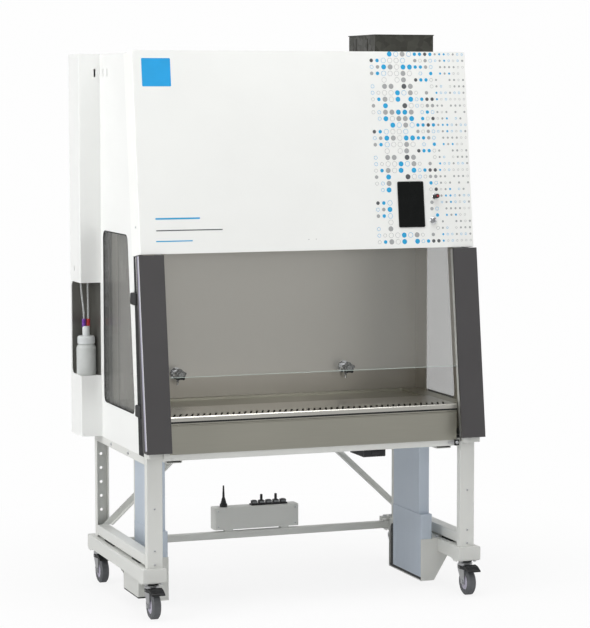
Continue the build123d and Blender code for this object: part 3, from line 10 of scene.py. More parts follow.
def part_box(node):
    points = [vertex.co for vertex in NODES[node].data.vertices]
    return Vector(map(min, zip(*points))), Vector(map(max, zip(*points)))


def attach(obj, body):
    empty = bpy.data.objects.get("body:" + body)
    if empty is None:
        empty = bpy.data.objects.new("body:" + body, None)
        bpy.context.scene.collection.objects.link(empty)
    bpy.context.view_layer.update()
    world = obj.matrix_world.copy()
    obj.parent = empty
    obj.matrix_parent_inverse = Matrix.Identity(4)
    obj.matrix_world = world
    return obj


bl_info = {
    "name": "Biological safety cabinet dressing",
    "version": (1, 0, 0),
    "blender": (4, 5, 0),
    "location": "View3D > Sidebar > Cabinet",
    "description": "Finishes and small pieces of a biological safety cabinet on a lifting stand",
    "category": "Object",
}

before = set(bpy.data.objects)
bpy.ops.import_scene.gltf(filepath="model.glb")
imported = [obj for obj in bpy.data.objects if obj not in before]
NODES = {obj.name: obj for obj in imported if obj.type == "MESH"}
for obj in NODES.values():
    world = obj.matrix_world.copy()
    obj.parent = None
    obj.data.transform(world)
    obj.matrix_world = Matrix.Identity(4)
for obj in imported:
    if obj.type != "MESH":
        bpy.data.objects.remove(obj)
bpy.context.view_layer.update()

# The cabinet's own origin in the row frame, in metres: the fascia's middle, and a depth that lies
# BEAM_REAR in front of the caster beams' rear ends.
BEAM_REAR = 0.430
HOME_X = (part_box("fascia")[0][0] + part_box("fascia")[1][0]) / 2
HOME_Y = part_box("caster_beams")[1][1] - BEAM_REAR

# The fascia leans back from its foot. Its top edge is given as (y, z) in the cabinet's millimetres.
LEAN = math.radians(7.46)
FASCIA_TOP = (-197.2, 2067.1)

# Screen and switches on the fascia, in metres across from its middle and down from its top edge.
SCREEN_LEFT, SCREEN_RIGHT = 0.358, 0.460
SCREEN_TOP, SCREEN_FOOT = 0.493, 0.662
ROUND_SWITCH = (0.509, 0.549)
KEY_SWITCH = (0.497, 0.639)
SWITCH_COLLARS = ((*ROUND_SWITCH, 0.0125), (*KEY_SWITCH, 0.0145))

FRONT, REAR, UP, DOWN = (0, -1, 0), (0, 1, 0), (0, 0, 1), (0, 0, -1)
ACROSS, UPRIGHT = 0, 2
SIDES = (-1, 1)
CORNERS = ("fl", "fr", "rl", "rr")


def place(x, y, z):
    """A point given in the cabinet's millimetres, as metres in the row frame."""
    return Vector((HOME_X + x / 1000, HOME_Y + y / 1000, z / 1000))


def on_fascia():
    """Matrix of the fascia's face, in metres: X across, Y into the cabinet, Z up from the top edge."""
    return Matrix.Translation(place(0, *FASCIA_TOP)) @ Matrix.Rotation(-LEAN, 4, "X")


def slope_y(depth, z):
    """Y of the plane that lies depth behind the fascia face, at height z, in millimetres."""
    return FASCIA_TOP[0] + depth / math.cos(LEAN) - (FASCIA_TOP[1] - z) * math.tan(LEAN)


# Settings


def hex_colour(name, where, default):
    """A colour that a user may change, written as sRGB hex."""
    return bpy.props.StringProperty(name=name, description="sRGB hex of " + where, default=default)


def length(name, what, default):
    """A length in metres that a user may change."""
    return bpy.props.FloatProperty(name=name, description=what, default=default, unit="LENGTH")


def wattage(name, which, default):
    """The power of a lamp that a user may change."""
    return bpy.props.FloatProperty(name=name, description="Power of " + which, default=default, unit="POWER")


class CabinetPaints(bpy.types.PropertyGroup):
    panel_white: hex_colour("Panel white", "the powder coat on the panels", "#EFF0EE")
    # The fascia is painted a little whiter than the panels: painted light for the brighter light on its
    # leaning face.
    fascia_white_lit: hex_colour("Fascia white", "the powder coat on the fascia", "#F6F7F4")
    frame_grey: hex_colour("Frame grey", "the powder coat on the stand", "#DADBD7")
    base_grey: hex_colour("Base grey", "the coat on the caster base and boxes", "#D5D6D2")
    pillar_grey: hex_colour("Pillar grey", "the dark pillars", "#454344")
    print_blue: hex_colour("Print blue", "the blue printed film", "#18A6DC")
    print_grey: hex_colour("Print grey", "the grey printed film", "#A9ABAB")
    print_dark: hex_colour("Print dark", "the dark printed film", "#55585B")
    badge_blue: hex_colour("Badge blue", "the bare badge", "#14A3E4")
    anodised: hex_colour("Anodised", "the lift columns", "#C6D0DC")
    peel_mm: bpy.props.FloatProperty(
        name="Orange peel", description="Size of the powder coat's ripple in mm",
        default=2.2, min=0.5, max=20)
    brush_mm: bpy.props.FloatProperty(
        name="Brush line", description="Spacing of the brushed lines in mm", default=1.6, min=0.2, max=10)


class FasciaPrint(bpy.types.PropertyGroup):
    film_t: length("Film thickness", "How far the printed film stands proud", 0.00025)
    dots_left: length("Dots left", "Left edge of the dot field, from the middle", 0.262)
    dot_pitch: length("Dot rows", "From one row of dots to the next", 0.0244)
    badge_left: length("Badge left", "Left edge of the bare badge, from the middle", -0.623)
    badge_top: length("Badge top", "From the fascia's top edge down to the bare badge", 0.0287)
    badge_w: length("Badge width", "Width of the bare badge", 0.1095)
    badge_h: length("Badge height", "Height of the bare badge", 0.1033)


class Fastenings(bpy.types.PropertyGroup):
    button_d: length("Button head", "Diameter of the button head screws", 0.0090)
    rail_d: length("Rail screw head", "Diameter of the heads on the top rails", 0.014)
    hex_d: length("Hex head", "Width over the corners of the hex bolts", 0.0175)
    edge_break: length("Edge break", "Rounding of folded sheet edges", 0.0009)


class CabinetStage(bpy.types.PropertyGroup):
    floor_hex: hex_colour("Floor", "the floor", "#F4F4F4")
    key_power: wattage("Left lamp", "the large lamp at the left", 118)
    front_power: wattage("Front lamp", "the lamps in front and behind", 26)
    right_power: wattage("Right lamp", "the lamp at the right", 28.6)
    top_power: wattage("Top lamp", "the lamp overhead", 120)
    world: bpy.props.FloatProperty(
        name="Ambient", description="Strength of the even light all round", default=0.4)
    mirror: bpy.props.FloatProperty(
        name="Mirrored room", description="Brightness of the room as metal and gloss see it", default=0.5)
    eye: bpy.props.FloatVectorProperty(
        name="Camera", description="Camera point in the cabinet's mm", default=(-3065.5, -8554.9, 1903.0))
    yaw: bpy.props.FloatProperty(
        name="Camera turn", description="Turn to the right", default=0.3485, subtype="ANGLE")
    pitch: bpy.props.FloatProperty(
        name="Camera dip", description="Tilt down", default=0.0914, subtype="ANGLE")
    roll: bpy.props.FloatProperty(
        name="Camera roll", description="Roll", default=-0.0009, subtype="ANGLE")
    lens: bpy.props.FloatProperty(
        name="Lens", description="Focal length in mm for a 36 mm side", default=136.7, min=10, max=400)


# Materials


def linear(text):
    """sRGB hex to Blender's linear colour, opaque."""
    out = []
    for k in (1, 3, 5):
        c = int(text[k:k + 2], 16) / 255
        out.append(c / 12.92 if c <= 0.04045 else ((c + 0.055) / 1.055) ** 2.4)
    return (*out, 1.0)


def add(tree, kind, links=None, to=None, **settings):
    """Adds one node. A setting names an input or a property, links maps an input to (node, output), and
    to is the (node, input) that takes the node's first output."""
    node = tree.nodes.new(kind)
    for key, value in settings.items():
        socket = node.inputs.get(key.replace("_", " "))
        if socket is None:
            setattr(node, key, value)
        else:
            socket.default_value = value
    for key, (source, output) in (links or {}).items():
        tree.links.new(source.outputs[output], node.inputs[key])
    if to is not None:
        taker, key = to
        tree.links.new(node.outputs[0], taker.inputs[key])
    return node


# Nearly all of a noise texture's values lie between these two.
NOISE_LOW, NOISE_HIGH = 0.3, 0.7


class Finish:
    """A new material with one Principled shader, and the ways in which real surfaces vary."""

    def __init__(self, name, text, **settings):
        self.text = text
        self.material = bpy.data.materials.new(name)
        self.material.use_nodes = True
        self.material.diffuse_color = linear(text)
        self.tree = self.material.node_tree
        self.shader = self.tree.nodes["Principled BSDF"]
        self.shader.inputs["Base Color"].default_value = linear(text)
        for key, value in settings.items():
            self.shader.inputs[key.replace("_", " ")].default_value = value
        self.coords = (add(self.tree, "ShaderNodeTexCoord"), "Object")

    def tones(self, pattern, spread, low_at=0.0, high_at=1.0):
        """Base colour from a little darker to a little lighter than the hex value, as the pattern rises."""
        ramp = add(self.tree, "ShaderNodeValToRGB", {"Fac": pattern}, (self.shader, "Base Color"))
        base = linear(self.text)[:3]
        first, last = ramp.color_ramp.elements
        first.position = low_at
        last.position = high_at
        first.color = (*(c * (1 - spread) for c in base), 1.0)
        last.color = (*(min(1.0, c * (1 + spread / 2)) for c in base), 1.0)

    def clouds(self, size_mm, spread):
        """Slow drift of colour over the surface, size_mm from patch to patch."""
        noise = add(self.tree, "ShaderNodeTexNoise", {"Vector": self.coords},
                    Scale=1000 / size_mm, Detail=3.0, Roughness=0.55)
        self.tones((noise, "Fac"), spread, NOISE_LOW, NOISE_HIGH)

    def handling(self, size_mm, low, high):
        """Handled and wiped areas: roughness drifts between low and high."""
        noise = add(self.tree, "ShaderNodeTexNoise", {"Vector": self.coords},
                    Scale=1000 / size_mm, Detail=4.0, Roughness=0.6)
        add(self.tree, "ShaderNodeMapRange", {"Value": (noise, "Fac")}, (self.shader, "Roughness"),
            From_Min=NOISE_LOW, From_Max=NOISE_HIGH, To_Min=low, To_Max=high)

    def ripple(self, size_mm, height_mm, detail=2.0):
        """Fine relief from noise, as bump."""
        noise = add(self.tree, "ShaderNodeTexNoise", {"Vector": self.coords},
                    Scale=1000 / size_mm, Detail=detail, Roughness=0.5)
        add(self.tree, "ShaderNodeBump", {"Height": (noise, "Fac")}, (self.shader, "Normal"),
            Strength=0.25, Distance=height_mm / 1000)

    def lines(self, width_mm, length_mm, axis, **settings):
        """A pattern of long fine lines along one axis."""
        stretch = [1000 / width_mm] * 3
        stretch[axis] = 1000 / length_mm
        mapping = add(self.tree, "ShaderNodeMapping", {"Vector": self.coords}, Scale=stretch)
        return add(self.tree, "ShaderNodeTexNoise", {"Vector": (mapping, "Vector")}, Scale=1.0, **settings)


def powder_coat(name, text, peel_mm, low=0.32, high=0.46):
    # Polyester powder coat on steel: even colour, half-gloss, a soft orange peel that breaks up highlights.
    # The peel is really about 1 mm; peel_mm draws it a little coarser so that it shows.
    coat = Finish(name, text, IOR=1.5)
    coat.clouds(420, 0.025)
    coat.handling(160, low, high)
    coat.ripple(peel_mm, 0.05)
    return coat.material


def brushed_metal(name, text, line_mm, axis, low, high, relief_mm=0.03, spread=0.08):
    # Rolled sheet with a directional grain: long fine lines along one axis, brighter and duller by turns.
    # Real lines are about a tenth of a millimetre apart; line_mm draws them coarser so that they show.
    cloud_mm = 350
    metal = Finish(name, text, Metallic=1.0, Anisotropic=0.55)
    grain = metal.lines(line_mm, line_mm * 90, axis, Detail=3.0, Roughness=0.6)
    cloud = add(metal.tree, "ShaderNodeTexNoise", {"Vector": metal.coords}, Scale=1000 / cloud_mm, Detail=2.0)
    both = add(metal.tree, "ShaderNodeMath", {0: (grain, "Fac"), 1: (cloud, "Fac")}, operation="ADD")
    mean = add(metal.tree, "ShaderNodeMath", {0: (both, "Value")}, operation="MULTIPLY")
    mean.inputs[1].default_value = 0.5
    metal.tones((mean, "Value"), spread, 0.32, 0.68)
    add(metal.tree, "ShaderNodeMapRange", {"Value": (mean, "Value")}, (metal.shader, "Roughness"),
        From_Min=NOISE_LOW, From_Max=NOISE_HIGH, To_Min=low, To_Max=high)
    add(metal.tree, "ShaderNodeBump", {"Height": (grain, "Fac")}, (metal.shader, "Normal"),
        Strength=0.2, Distance=relief_mm / 1000)
    return metal.material


def anodised_skin(name, text):
    # Anodised extrusion: a pale satin oxide layer over aluminium, with faint die lines along its length.
    # The lines are really under 1 mm apart and are drawn at 3 mm so that they show.
    skin = Finish(name, text, Metallic=0.25)
    grain = skin.lines(3, 400, UPRIGHT, Detail=2.0)
    skin.tones((grain, "Fac"), 0.04)
    skin.handling(120, 0.36, 0.46)
    add(skin.tree, "ShaderNodeBump", {"Height": (grain, "Fac")}, (skin.shader, "Normal"),
        Strength=0.15, Distance=0.00002)
    return skin.material


def spangled_zinc(name, text):
    # Hot-dip galvanised sheet: grey zinc crystals about 22 mm wide, each a slightly different tone.
    spangle_mm = 22
    zinc = Finish(name, text, Metallic=0.9)
    cells = add(zinc.tree, "ShaderNodeTexVoronoi", {"Vector": zinc.coords},
                feature="F1", Scale=1000 / spangle_mm)
    tone = add(zinc.tree, "ShaderNodeSeparateColor", {"Color": (cells, "Color")})
    zinc.tones((tone, "Red"), 0.3)
    add(zinc.tree, "ShaderNodeMapRange", {"Value": (tone, "Green")}, (zinc.shader, "Roughness"),
        To_Min=0.38, To_Max=0.58)
    zinc.ripple(6, 0.08)
    return zinc.material


def moulded_plastic(name, text, rough=0.5, grain_mm=1.4, spread=0.12):
    # Moulded plastic: spark-eroded mould grain, a faint mottling of colour, dielectric gloss.
    # The grain is really about 0.2 mm; grain_mm draws it coarser so that it shows.
    plastic = Finish(name, text, IOR=1.5)
    plastic.clouds(60, spread)
    plastic.handling(25, rough - 0.07, rough + 0.08)
    plastic.ripple(grain_mm, 0.06)
    return plastic.material


def screen_cover(name, text):
    # Coated cover over a dark screen: near black, with weak satin reflections.
    material = moulded_plastic(name, text, 0.3, 4.0, 0.05)
    shader = material.node_tree.nodes["Principled BSDF"]
    shader.inputs["Specular IOR Level"].default_value = 0.12
    return material


def soft_rubber(name, text, rough=0.72, spread=0.2):
    # Extruded or moulded rubber: matte, a dusty bloom in patches, no clear highlight.
    rubber = Finish(name, text, IOR=1.52)
    rubber.clouds(35, spread)
    rubber.handling(18, rough - 0.1, rough + 0.1)
    rubber.ripple(0.9, 0.05, 3.0)
    return rubber.material


def sheet_glass(name, text, alpha, rough=0.02):
    # Float glass: clear from the front, a green-grey body colour, sharp reflections. Smears drift the gloss.
    glass = Finish(name, text, IOR=1.5, Alpha=alpha)
    glass.handling(90, rough, rough + 0.05)
    return glass.material


def clear_polymer(name, text, alpha, rough):
    # Translucent polyethylene: milky, lets light through, slight flow marks.
    polymer = Finish(name, text, IOR=1.5, Transmission_Weight=0.25, Alpha=alpha)
    polymer.clouds(40, 0.06)
    polymer.handling(30, rough, rough + 0.1)
    return polymer.material


def printed_film(name, text):
    # Screen-printed polyester film: flat ink, satin, with the ink's slight unevenness.
    film = Finish(name, text, IOR=1.5)
    film.clouds(70, 0.05)
    film.handling(60, 0.38, 0.5)
    return film.material


def lamp_tube(name, text, strength):
    # Frosted lamp tube: smooth glass with an even soft glow.
    tube = Finish(name, text, Roughness=0.18, Emission_Color=linear(text), Emission_Strength=strength)
    return tube.material


def pleated_paper(name, text):
    # Glass-fibre filter paper: fibrous and matte, in fine pleats.
    # The pleats are really about 4 mm apart and are drawn at nearly 24 mm so that they show.
    pleat_mm = 23.687
    # A wave texture runs through 20 radians in one unit.
    wave_rate = 20
    paper = Finish(name, text, Roughness=0.9)
    wave = add(paper.tree, "ShaderNodeTexWave", {"Vector": paper.coords}, wave_type="BANDS",
               bands_direction="X", Scale=2000 * math.pi / pleat_mm / wave_rate, Distortion=0.4)
    # The base colour darkens and lightens with the pleats: painted shade in the folds and painted light on
    # the ridges.
    paper.tones((wave, "Fac"), 0.25)
    add(paper.tree, "ShaderNodeBump", {"Height": (wave, "Fac")}, (paper.shader, "Normal"), Distance=0.002)
    return paper.material


def at_corners(stem):
    """The four node names of a caster piece."""
    return tuple(stem + "_" + corner for corner in CORNERS)


MATERIALS = {}

FINISH_NODES = {
    "powder_coat_base": ("caster_beams", "base_crossbar", "lift_brackets", "drive_box", "control_box"),
    "powder_coat_frame": ("side_frames", "frame_beams", "sash_guides"),
    "powder_coat_white": ("side_panels", "shell_cover", "air_diffuser", "service_column"),
    # A lit copy of the white powder coat: the fascia is painted whiter as painted light on its leaning face.
    "powder_coat_fascia_lit": ("fascia",),
    "powder_coat_dark": ("pillars",),
    "anodised_aluminium": ("lift_housings", "lift_tubes"),
    "brushed_stainless_upright": ("inner_liner",),
    "brushed_stainless_across": ("drain_pan", "front_apron", "work_tray"),
    "bright_stainless": ("front_grille",),
    "galvanised_sheet": ("plenum_front", "weight_rails", "blower_housing", "impeller"),
    # The duct's zinc is far darker than real galvanised sheet: painted shade and painted dark reflections on
    # its faces.
    "zinc_painted_dark": ("duct",),
    "zinc_plate": ("counterweights", *at_corners("caster_fork")),
    "chrome_plate": ("key_switch", "tap_bodies"),
    "black_abs": ("lift_feet", "control_fittings", "guide_clamps", "round_switch", "hand_control",
                  "hand_rocker", "tap_knob_left", "tap_knob_right", *at_corners("caster_pedal")),
    "white_cap": ("bottle_cap",),
    # guide_seals are black rubber in the gap beside the fascia; their black also paints the shade in that
    # gap.
    "epdm_rubber": ("frame_rests", "guide_seals"),
    "grey_tread": at_corners("caster_wheel"),
    "clear_glass": ("sash",),
    "tinted_glass": ("side_windows",),
    "black_cover_glass": ("display",),
    "milky_polyethylene": ("bottle",),
    "clear_line": ("bottle_lines",),
    "filter_paper": ("filters",),
    "lamp_glass": ("lamp",),
}
NODE_FINISH = {node: finish for finish, nodes in FINISH_NODES.items() for node in nodes}


class CABINET_OT_finishes(bpy.types.Operator):
    """Make every finish and put it on the CAD nodes"""
    bl_idname = "cabinet.finishes"
    bl_label = "Finishes"

    def execute(self, context):
        paints = context.scene.cabinet_paints
        peel = paints.peel_mm
        line = paints.brush_mm
        # Each finish: its maker, its colour, and what that maker takes next.
        recipes = {
            "powder_coat_white": (powder_coat, paints.panel_white, peel),
            # Painted light: the fascia's white is set above the panels' white so that its leaning face reads
            # brighter.
            "powder_coat_fascia_lit": (powder_coat, paints.fascia_white_lit, peel),
            "powder_coat_frame": (powder_coat, paints.frame_grey, peel),
            "powder_coat_base": (powder_coat, paints.base_grey, peel, 0.4, 0.52),
            "powder_coat_dark": (powder_coat, paints.pillar_grey, peel, 0.42, 0.55),
            "brushed_stainless_across": (brushed_metal, "#BBB9AD", line, ACROSS, 0.3, 0.46),
            "brushed_stainless_upright": (brushed_metal, "#BDB9B1", line, UPRIGHT, 0.34, 0.46, 0.008, 0.04),
            "anodised_aluminium": (anodised_skin, paints.anodised),
            "anodised_bright": (anodised_skin, "#DDDEE2"),
            "anodised_violet": (anodised_skin, "#A7A4B8"),
            "galvanised_sheet": (spangled_zinc, "#8E9294"),
            "bright_stainless": (brushed_metal, "#DCDAD2", line, ACROSS, 0.24, 0.38),
            # Darker than the stainless elsewhere: the niche steel is painted darker to stand in for the shade
            # in the recess.
            "bare_steel": (brushed_metal, "#8C8B86", line, UPRIGHT, 0.34, 0.48),
            # Painted shade and painted dark reflections: the duct's zinc is darkened far below real
            # galvanised sheet.
            "zinc_painted_dark": (spangled_zinc, "#4A4A45"),
            "zinc_plate": (brushed_metal, "#D4D5D7", 1.2, UPRIGHT, 0.25, 0.4, 0.02, 0.06),
            "chrome_plate": (brushed_metal, "#D5D6D8", 3.0, UPRIGHT, 0.06, 0.14, 0.01, 0.03),
            "black_abs": (moulded_plastic, "#1E1F21"),
            "grey_abs": (moulded_plastic, "#7E8082"),
            "hub_polyamide": (moulded_plastic, "#BDB9C8", 0.42),
            "white_cap": (moulded_plastic, "#DADDDD", 0.4, 1.4, 0.04),
            "red_abs": (moulded_plastic, "#B3262C", 0.35),
            "violet_abs": (moulded_plastic, "#6A2E9A", 0.35),
            "epdm_rubber": (soft_rubber, "#1B1C1D"),
            "grey_tread": (soft_rubber, "#5E6063", 0.62, 0.1),
            "clear_glass": (sheet_glass, "#E4E6E2", 0.07),
            # Lighter than the pane: partly the ground edge's frost, partly a painted highlight along the
            # glass edge.
            "glass_edge": (sheet_glass, "#C9D6CF", 0.55, 0.1),
            "tinted_glass": (sheet_glass, "#8E8F8C", 0.24),
            "black_cover_glass": (screen_cover, "#050807"),
            "milky_polyethylene": (clear_polymer, "#E3E6E4", 0.92, 0.3),
            "clear_line": (clear_polymer, "#E8ECEC", 0.55, 0.12),
            "filter_paper": (pleated_paper, "#E4E1D6"),
            "lamp_glass": (lamp_tube, "#FBFBF6", 1.2),
            "film_blue": (printed_film, paints.print_blue),
            "film_grey": (printed_film, paints.print_grey),
            "film_dark": (printed_film, paints.print_dark),
            "film_badge": (printed_film, paints.badge_blue),
        }
        for name, (maker, *values) in recipes.items():
            MATERIALS[name] = maker(name, *values)
        for name, node in NODES.items():
            node.data.materials.clear()
            node.data.materials.append(MATERIALS[NODE_FINISH[name]])
        return {"FINISHED"}


# Mesh helpers


def new_object(name, data):
    """An object with that data, linked into the scene."""
    obj = bpy.data.objects.new(name, data)
    bpy.context.scene.collection.objects.link(obj)
    return obj


def piece(name, bm, finishes, body, smooth=False):
    """Turns a bmesh into a named piece that rides on a body. Finishes is one name or a list of them."""
    bmesh.ops.recalc_face_normals(bm, faces=bm.faces)
    mesh = bpy.data.meshes.new(name)
    bm.to_mesh(mesh)
    bm.free()
    obj = new_object(name, mesh)
    for finish in [finishes] if isinstance(finishes, str) else finishes:
        mesh.materials.append(MATERIALS[finish])
    if smooth:
        shade_smooth(mesh, 35)
    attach(obj, body)


def shade_smooth(mesh, sharp_over):
    """Smooth shading, apart from edges that turn by more than sharp_over degrees."""
    for face in mesh.polygons:
        face.use_smooth = True
    mesh.set_sharp_from_angle(angle=math.radians(sharp_over))


def bar(bm, low, high, matrix=None, index=0):
    """An axis-aligned block between two corners, moved by matrix."""
    size = Vector(high) - Vector(low)
    centre = (Vector(high) + Vector(low)) / 2
    shape = Matrix.Translation(centre) @ Matrix.Diagonal((*size, 1))
    verts = bmesh.ops.create_cube(bm, size=1.0, matrix=shape)["verts"]
    if matrix is not None:
        bmesh.ops.transform(bm, matrix=matrix, verts=verts)
    for face in {face for vert in verts for face in vert.link_faces}:
        face.material_index = index


def band(bm, lower, upper, index):
    """Joins two closed loops with the same number of points."""
    for k in range(len(lower)):
        n = (k + 1) % len(lower)
        bm.faces.new((lower[k], lower[n], upper[n], upper[k])).material_index = index


def lathe(bm, profile, matrix, steps=24, index=0):
    """Turns (radius, height) points round local Z."""
    turn = [2 * math.pi * k / steps for k in range(steps)]
    rings = [[bm.verts.new(matrix @ Vector((radius * math.cos(a), radius * math.sin(a), height)))
              for a in turn] for radius, height in profile]
    for lower, upper in zip(rings, rings[1:]):
        band(bm, lower, upper, index)
    for ring in (rings[0], rings[-1]):
        bm.faces.new(ring).material_index = index


def prism(bm, outline, depth, matrix, index=0):
    """Closed outline of (x, z) points in local XZ, pushed along local Y by depth."""
    front, back = [[bm.verts.new(matrix @ Vector((x, y, z))) for x, z in outline] for y in (0, depth)]
    for cap in (front, back):
        bm.faces.new(cap).material_index = index
    band(bm, front, back, index)


def round_rect(x0, z0, x1, z1, radius, steps=5):
    """Outline of a rectangle with round corners."""
    points = []
    for cx, cz, start in ((x1 - radius, z1 - radius, 0), (x0 + radius, z1 - radius, 90),
                          (x0 + radius, z0 + radius, 180), (x1 - radius, z0 + radius, 270)):
        for k in range(steps + 1):
            a = math.radians(start + 90 * k / steps)
            points.append((cx + radius * math.cos(a), cz + radius * math.sin(a)))
    return points


def ring_band(bm, outer, inner, depth, matrix, index=0):
    """A flat frame between two outlines with the same number of points."""
    loops = []
    for outline, y in ((outer, 0), (inner, 0), (inner, depth), (outer, depth)):
        loops.append([bm.verts.new(matrix @ Vector((x, y, z))) for x, z in outline])
    for near, far in zip(loops, loops[1:] + loops[:1]):
        band(bm, near, far, index)


def rounded_polygon(points, radius, steps=6):
    """Rounds the corners of a convex outline."""
    out = []
    for k, point in enumerate(points):
        p = Vector(point)
        a = Vector(points[k - 1]) - p
        b = Vector(points[(k + 1) % len(points)]) - p
        half = a.angle(b) / 2
        centre = p + (a.normalized() + b.normalized()).normalized() * (radius / math.sin(half))
        start = p + a.normalized() * (radius / math.tan(half)) - centre
        end = p + b.normalized() * (radius / math.tan(half)) - centre
        sweep = start.angle_signed(end)
        for s in range(steps + 1):
            out.append(tuple(centre + Matrix.Rotation(-sweep * s / steps, 2) @ start))
    return out


def facing(point, direction):
    """Matrix at point whose local Z looks along direction."""
    quat = Vector(direction).to_track_quat("Z", "Y")
    return Matrix.Translation(point) @ quat.to_matrix().to_4x4()


def screw_part(bm, profile, seat, size, steps, index=0):
    """Turns a profile given in radii of a head that is size wide."""
    lathe(bm, [(size / 2 * radius, size / 2 * height) for radius, height in profile], seat, steps, index)


def button_head(bm, point, direction, size):
    """Domed screw head with a dark hexagon recess."""
    seat = facing(point, direction)
    screw_part(bm, ((1, 0), (0.96, 0.28), (0.8, 0.48), (0.5, 0.58)), seat, size, 18)
    screw_part(bm, ((0.36, 0.581), (0.36, 0.6)), seat, size, 6, 1)


def hex_head(bm, point, direction, size):
    """Hexagon bolt head on a washer."""
    seat = facing(point, direction)
    screw_part(bm, ((1.25, 0), (1.25, 0.14)), seat, size, 20)
    screw_part(bm, ((1, 0.14), (1, 0.72), (0.86, 0.84)), seat, size, 6)


# Swaps X and Y, so that an outline drawn in local XZ lies in the cabinet's YZ.
SIDE_PLANE = Matrix(((0, 1, 0, 0), (1, 0, 0, 0), (0, 0, 1, 0), (0, 0, 0, 1)))


def side_face(x):
    """Matrix for (y, z) outlines in the cabinet's metres, on the side face at x mm, with depth along X."""
    return Matrix.Translation(place(x, 0, 0)) @ SIDE_PLANE


# Pieces

# Printed rules as (left, right, top, foot, ink), in mm from the fascia's middle and top edge.
PRINTED_RULES = ((-595, -426, 611, 617, 0), (-594, -341, 655, 659, 1), (-596, -457, 694, 698, 0),
                 (-8, -5.5, 699, 701.5, 1), (21, 23.5, 699, 701.5, 1))

# Columns of dots from the left: how many, their pitch and dot size in metres, and the odds that a dot is
# blue, grey, dark or a ring. What is left over is no dot.
DOT_COLUMNS = ((2, 0.0236, 0.0140, (0.18, 0.12, 0.06, 0.42)),
               (5, 0.0262, 0.0196, (0.22, 0.22, 0.09, 0.32)),
               (4, 0.0212, 0.0136, (0.24, 0.13, 0.08, 0.34)),
               (7, 0.0186, 0.0084, (0.10, 0.36, 0.00, 0.36)))
BLUE, GREY, RING = 0, 1, 3


class CABINET_OT_fascia_print(bpy.types.Operator):
    """Printed film on the fascia: bare badge, plain rules and a field of dots"""
    bl_idname = "cabinet.fascia_print"
    bl_label = "Fascia print"

    def execute(self, context):
        film = context.scene.fascia_print
        # The ink stands film_t proud and ends just short of the fascia, so that no two faces coincide.
        skin = on_fascia() @ Matrix.Translation((0, -film.film_t, 0))
        ink_t = film.film_t * 0.9
        badge_corner = 0.004
        rule_corner = 0.0012
        bm = bmesh.new()
        badge = round_rect(film.badge_left, -film.badge_top - film.badge_h,
                           film.badge_left + film.badge_w, -film.badge_top, badge_corner)
        prism(bm, badge, ink_t, skin)
        piece("badge_film", bm, "film_badge", "fascia")
        bm = bmesh.new()
        for left, right, top, foot, ink in PRINTED_RULES:
            # A round dot where the rule is short: just under half its height, from mm to metres.
            corner = min(rule_corner, (foot - top) / 2200)
            rule = round_rect(left / 1000, -foot / 1000, right / 1000, -top / 1000, corner, 3)
            prism(bm, rule, ink_t, skin, ink)
        piece("rule_film", bm, ["film_blue", "film_dark"], "fascia")
        self.dots(film, skin)
        return {"FINISHED"}

    def dots(self, film, skin):
        """Eleven rows of dots, repeated down the fascia: bold at the left, then middling, then small."""
        seed, tile_rows, rows = 23, 11, 30
        first_row = -0.0095
        row_shift = 0.0006
        dot_t = film.film_t * 0.8
        rng = random.Random(seed)
        columns = []
        x = film.dots_left
        for count, pitch, size, odds in DOT_COLUMNS:
            for _ in range(count):
                columns.append((x + pitch / 2, size, odds))
                x += pitch
        tile = [[rng.random() for _ in columns] for _ in range(tile_rows)]
        bm = bmesh.new()
        for row in range(rows):
            z = first_row - row * film.dot_pitch
            for (x, size, odds), fate in zip(columns, tile[row % tile_rows]):
                shifted = x + row_shift * (row % 3)
                steps = [sum(odds[:k + 1]) for k in range(len(odds))]
                kind = next((k for k, step in enumerate(steps) if fate < step), None)
                if kind is None or self.by_a_fitting(shifted, z):
                    continue
                ink = kind
                if kind == RING:
                    ink = BLUE if fate * 100 % 1 < 0.5 else GREY
                self.dot(bm, shifted, z, size / 2, ink, kind == RING, dot_t, skin)
        piece("dot_film", bm, ["film_blue", "film_grey", "film_dark"], "fascia")

    def by_a_fitting(self, x, z):
        """Whether a dot there would come too near the screen or a switch."""
        beside_screen, beside_collar = 0.0135, 0.012
        across = SCREEN_LEFT - beside_screen < x < SCREEN_RIGHT + beside_screen
        down = SCREEN_TOP - beside_screen < -z < SCREEN_FOOT + beside_screen
        return across and down or any(math.hypot(x - switch_x, z + switch_s) < radius + beside_collar
                                      for switch_x, switch_s, radius in SWITCH_COLLARS)

    def dot(self, bm, x, z, radius, ink, hollow, ink_t, skin):
        """One dot, or a ring where it is hollow."""
        steps = 14
        rim = 0.0011
        turn = [2 * math.pi * k / steps for k in range(steps)]
        outer, inner = [[(x + r * math.cos(a), z + r * math.sin(a)) for a in turn]
                        for r in (radius, radius - rim)]
        if hollow:
            ring_band(bm, outer, inner, ink_t, skin, ink)
        else:
            prism(bm, outer, ink_t, skin, ink)


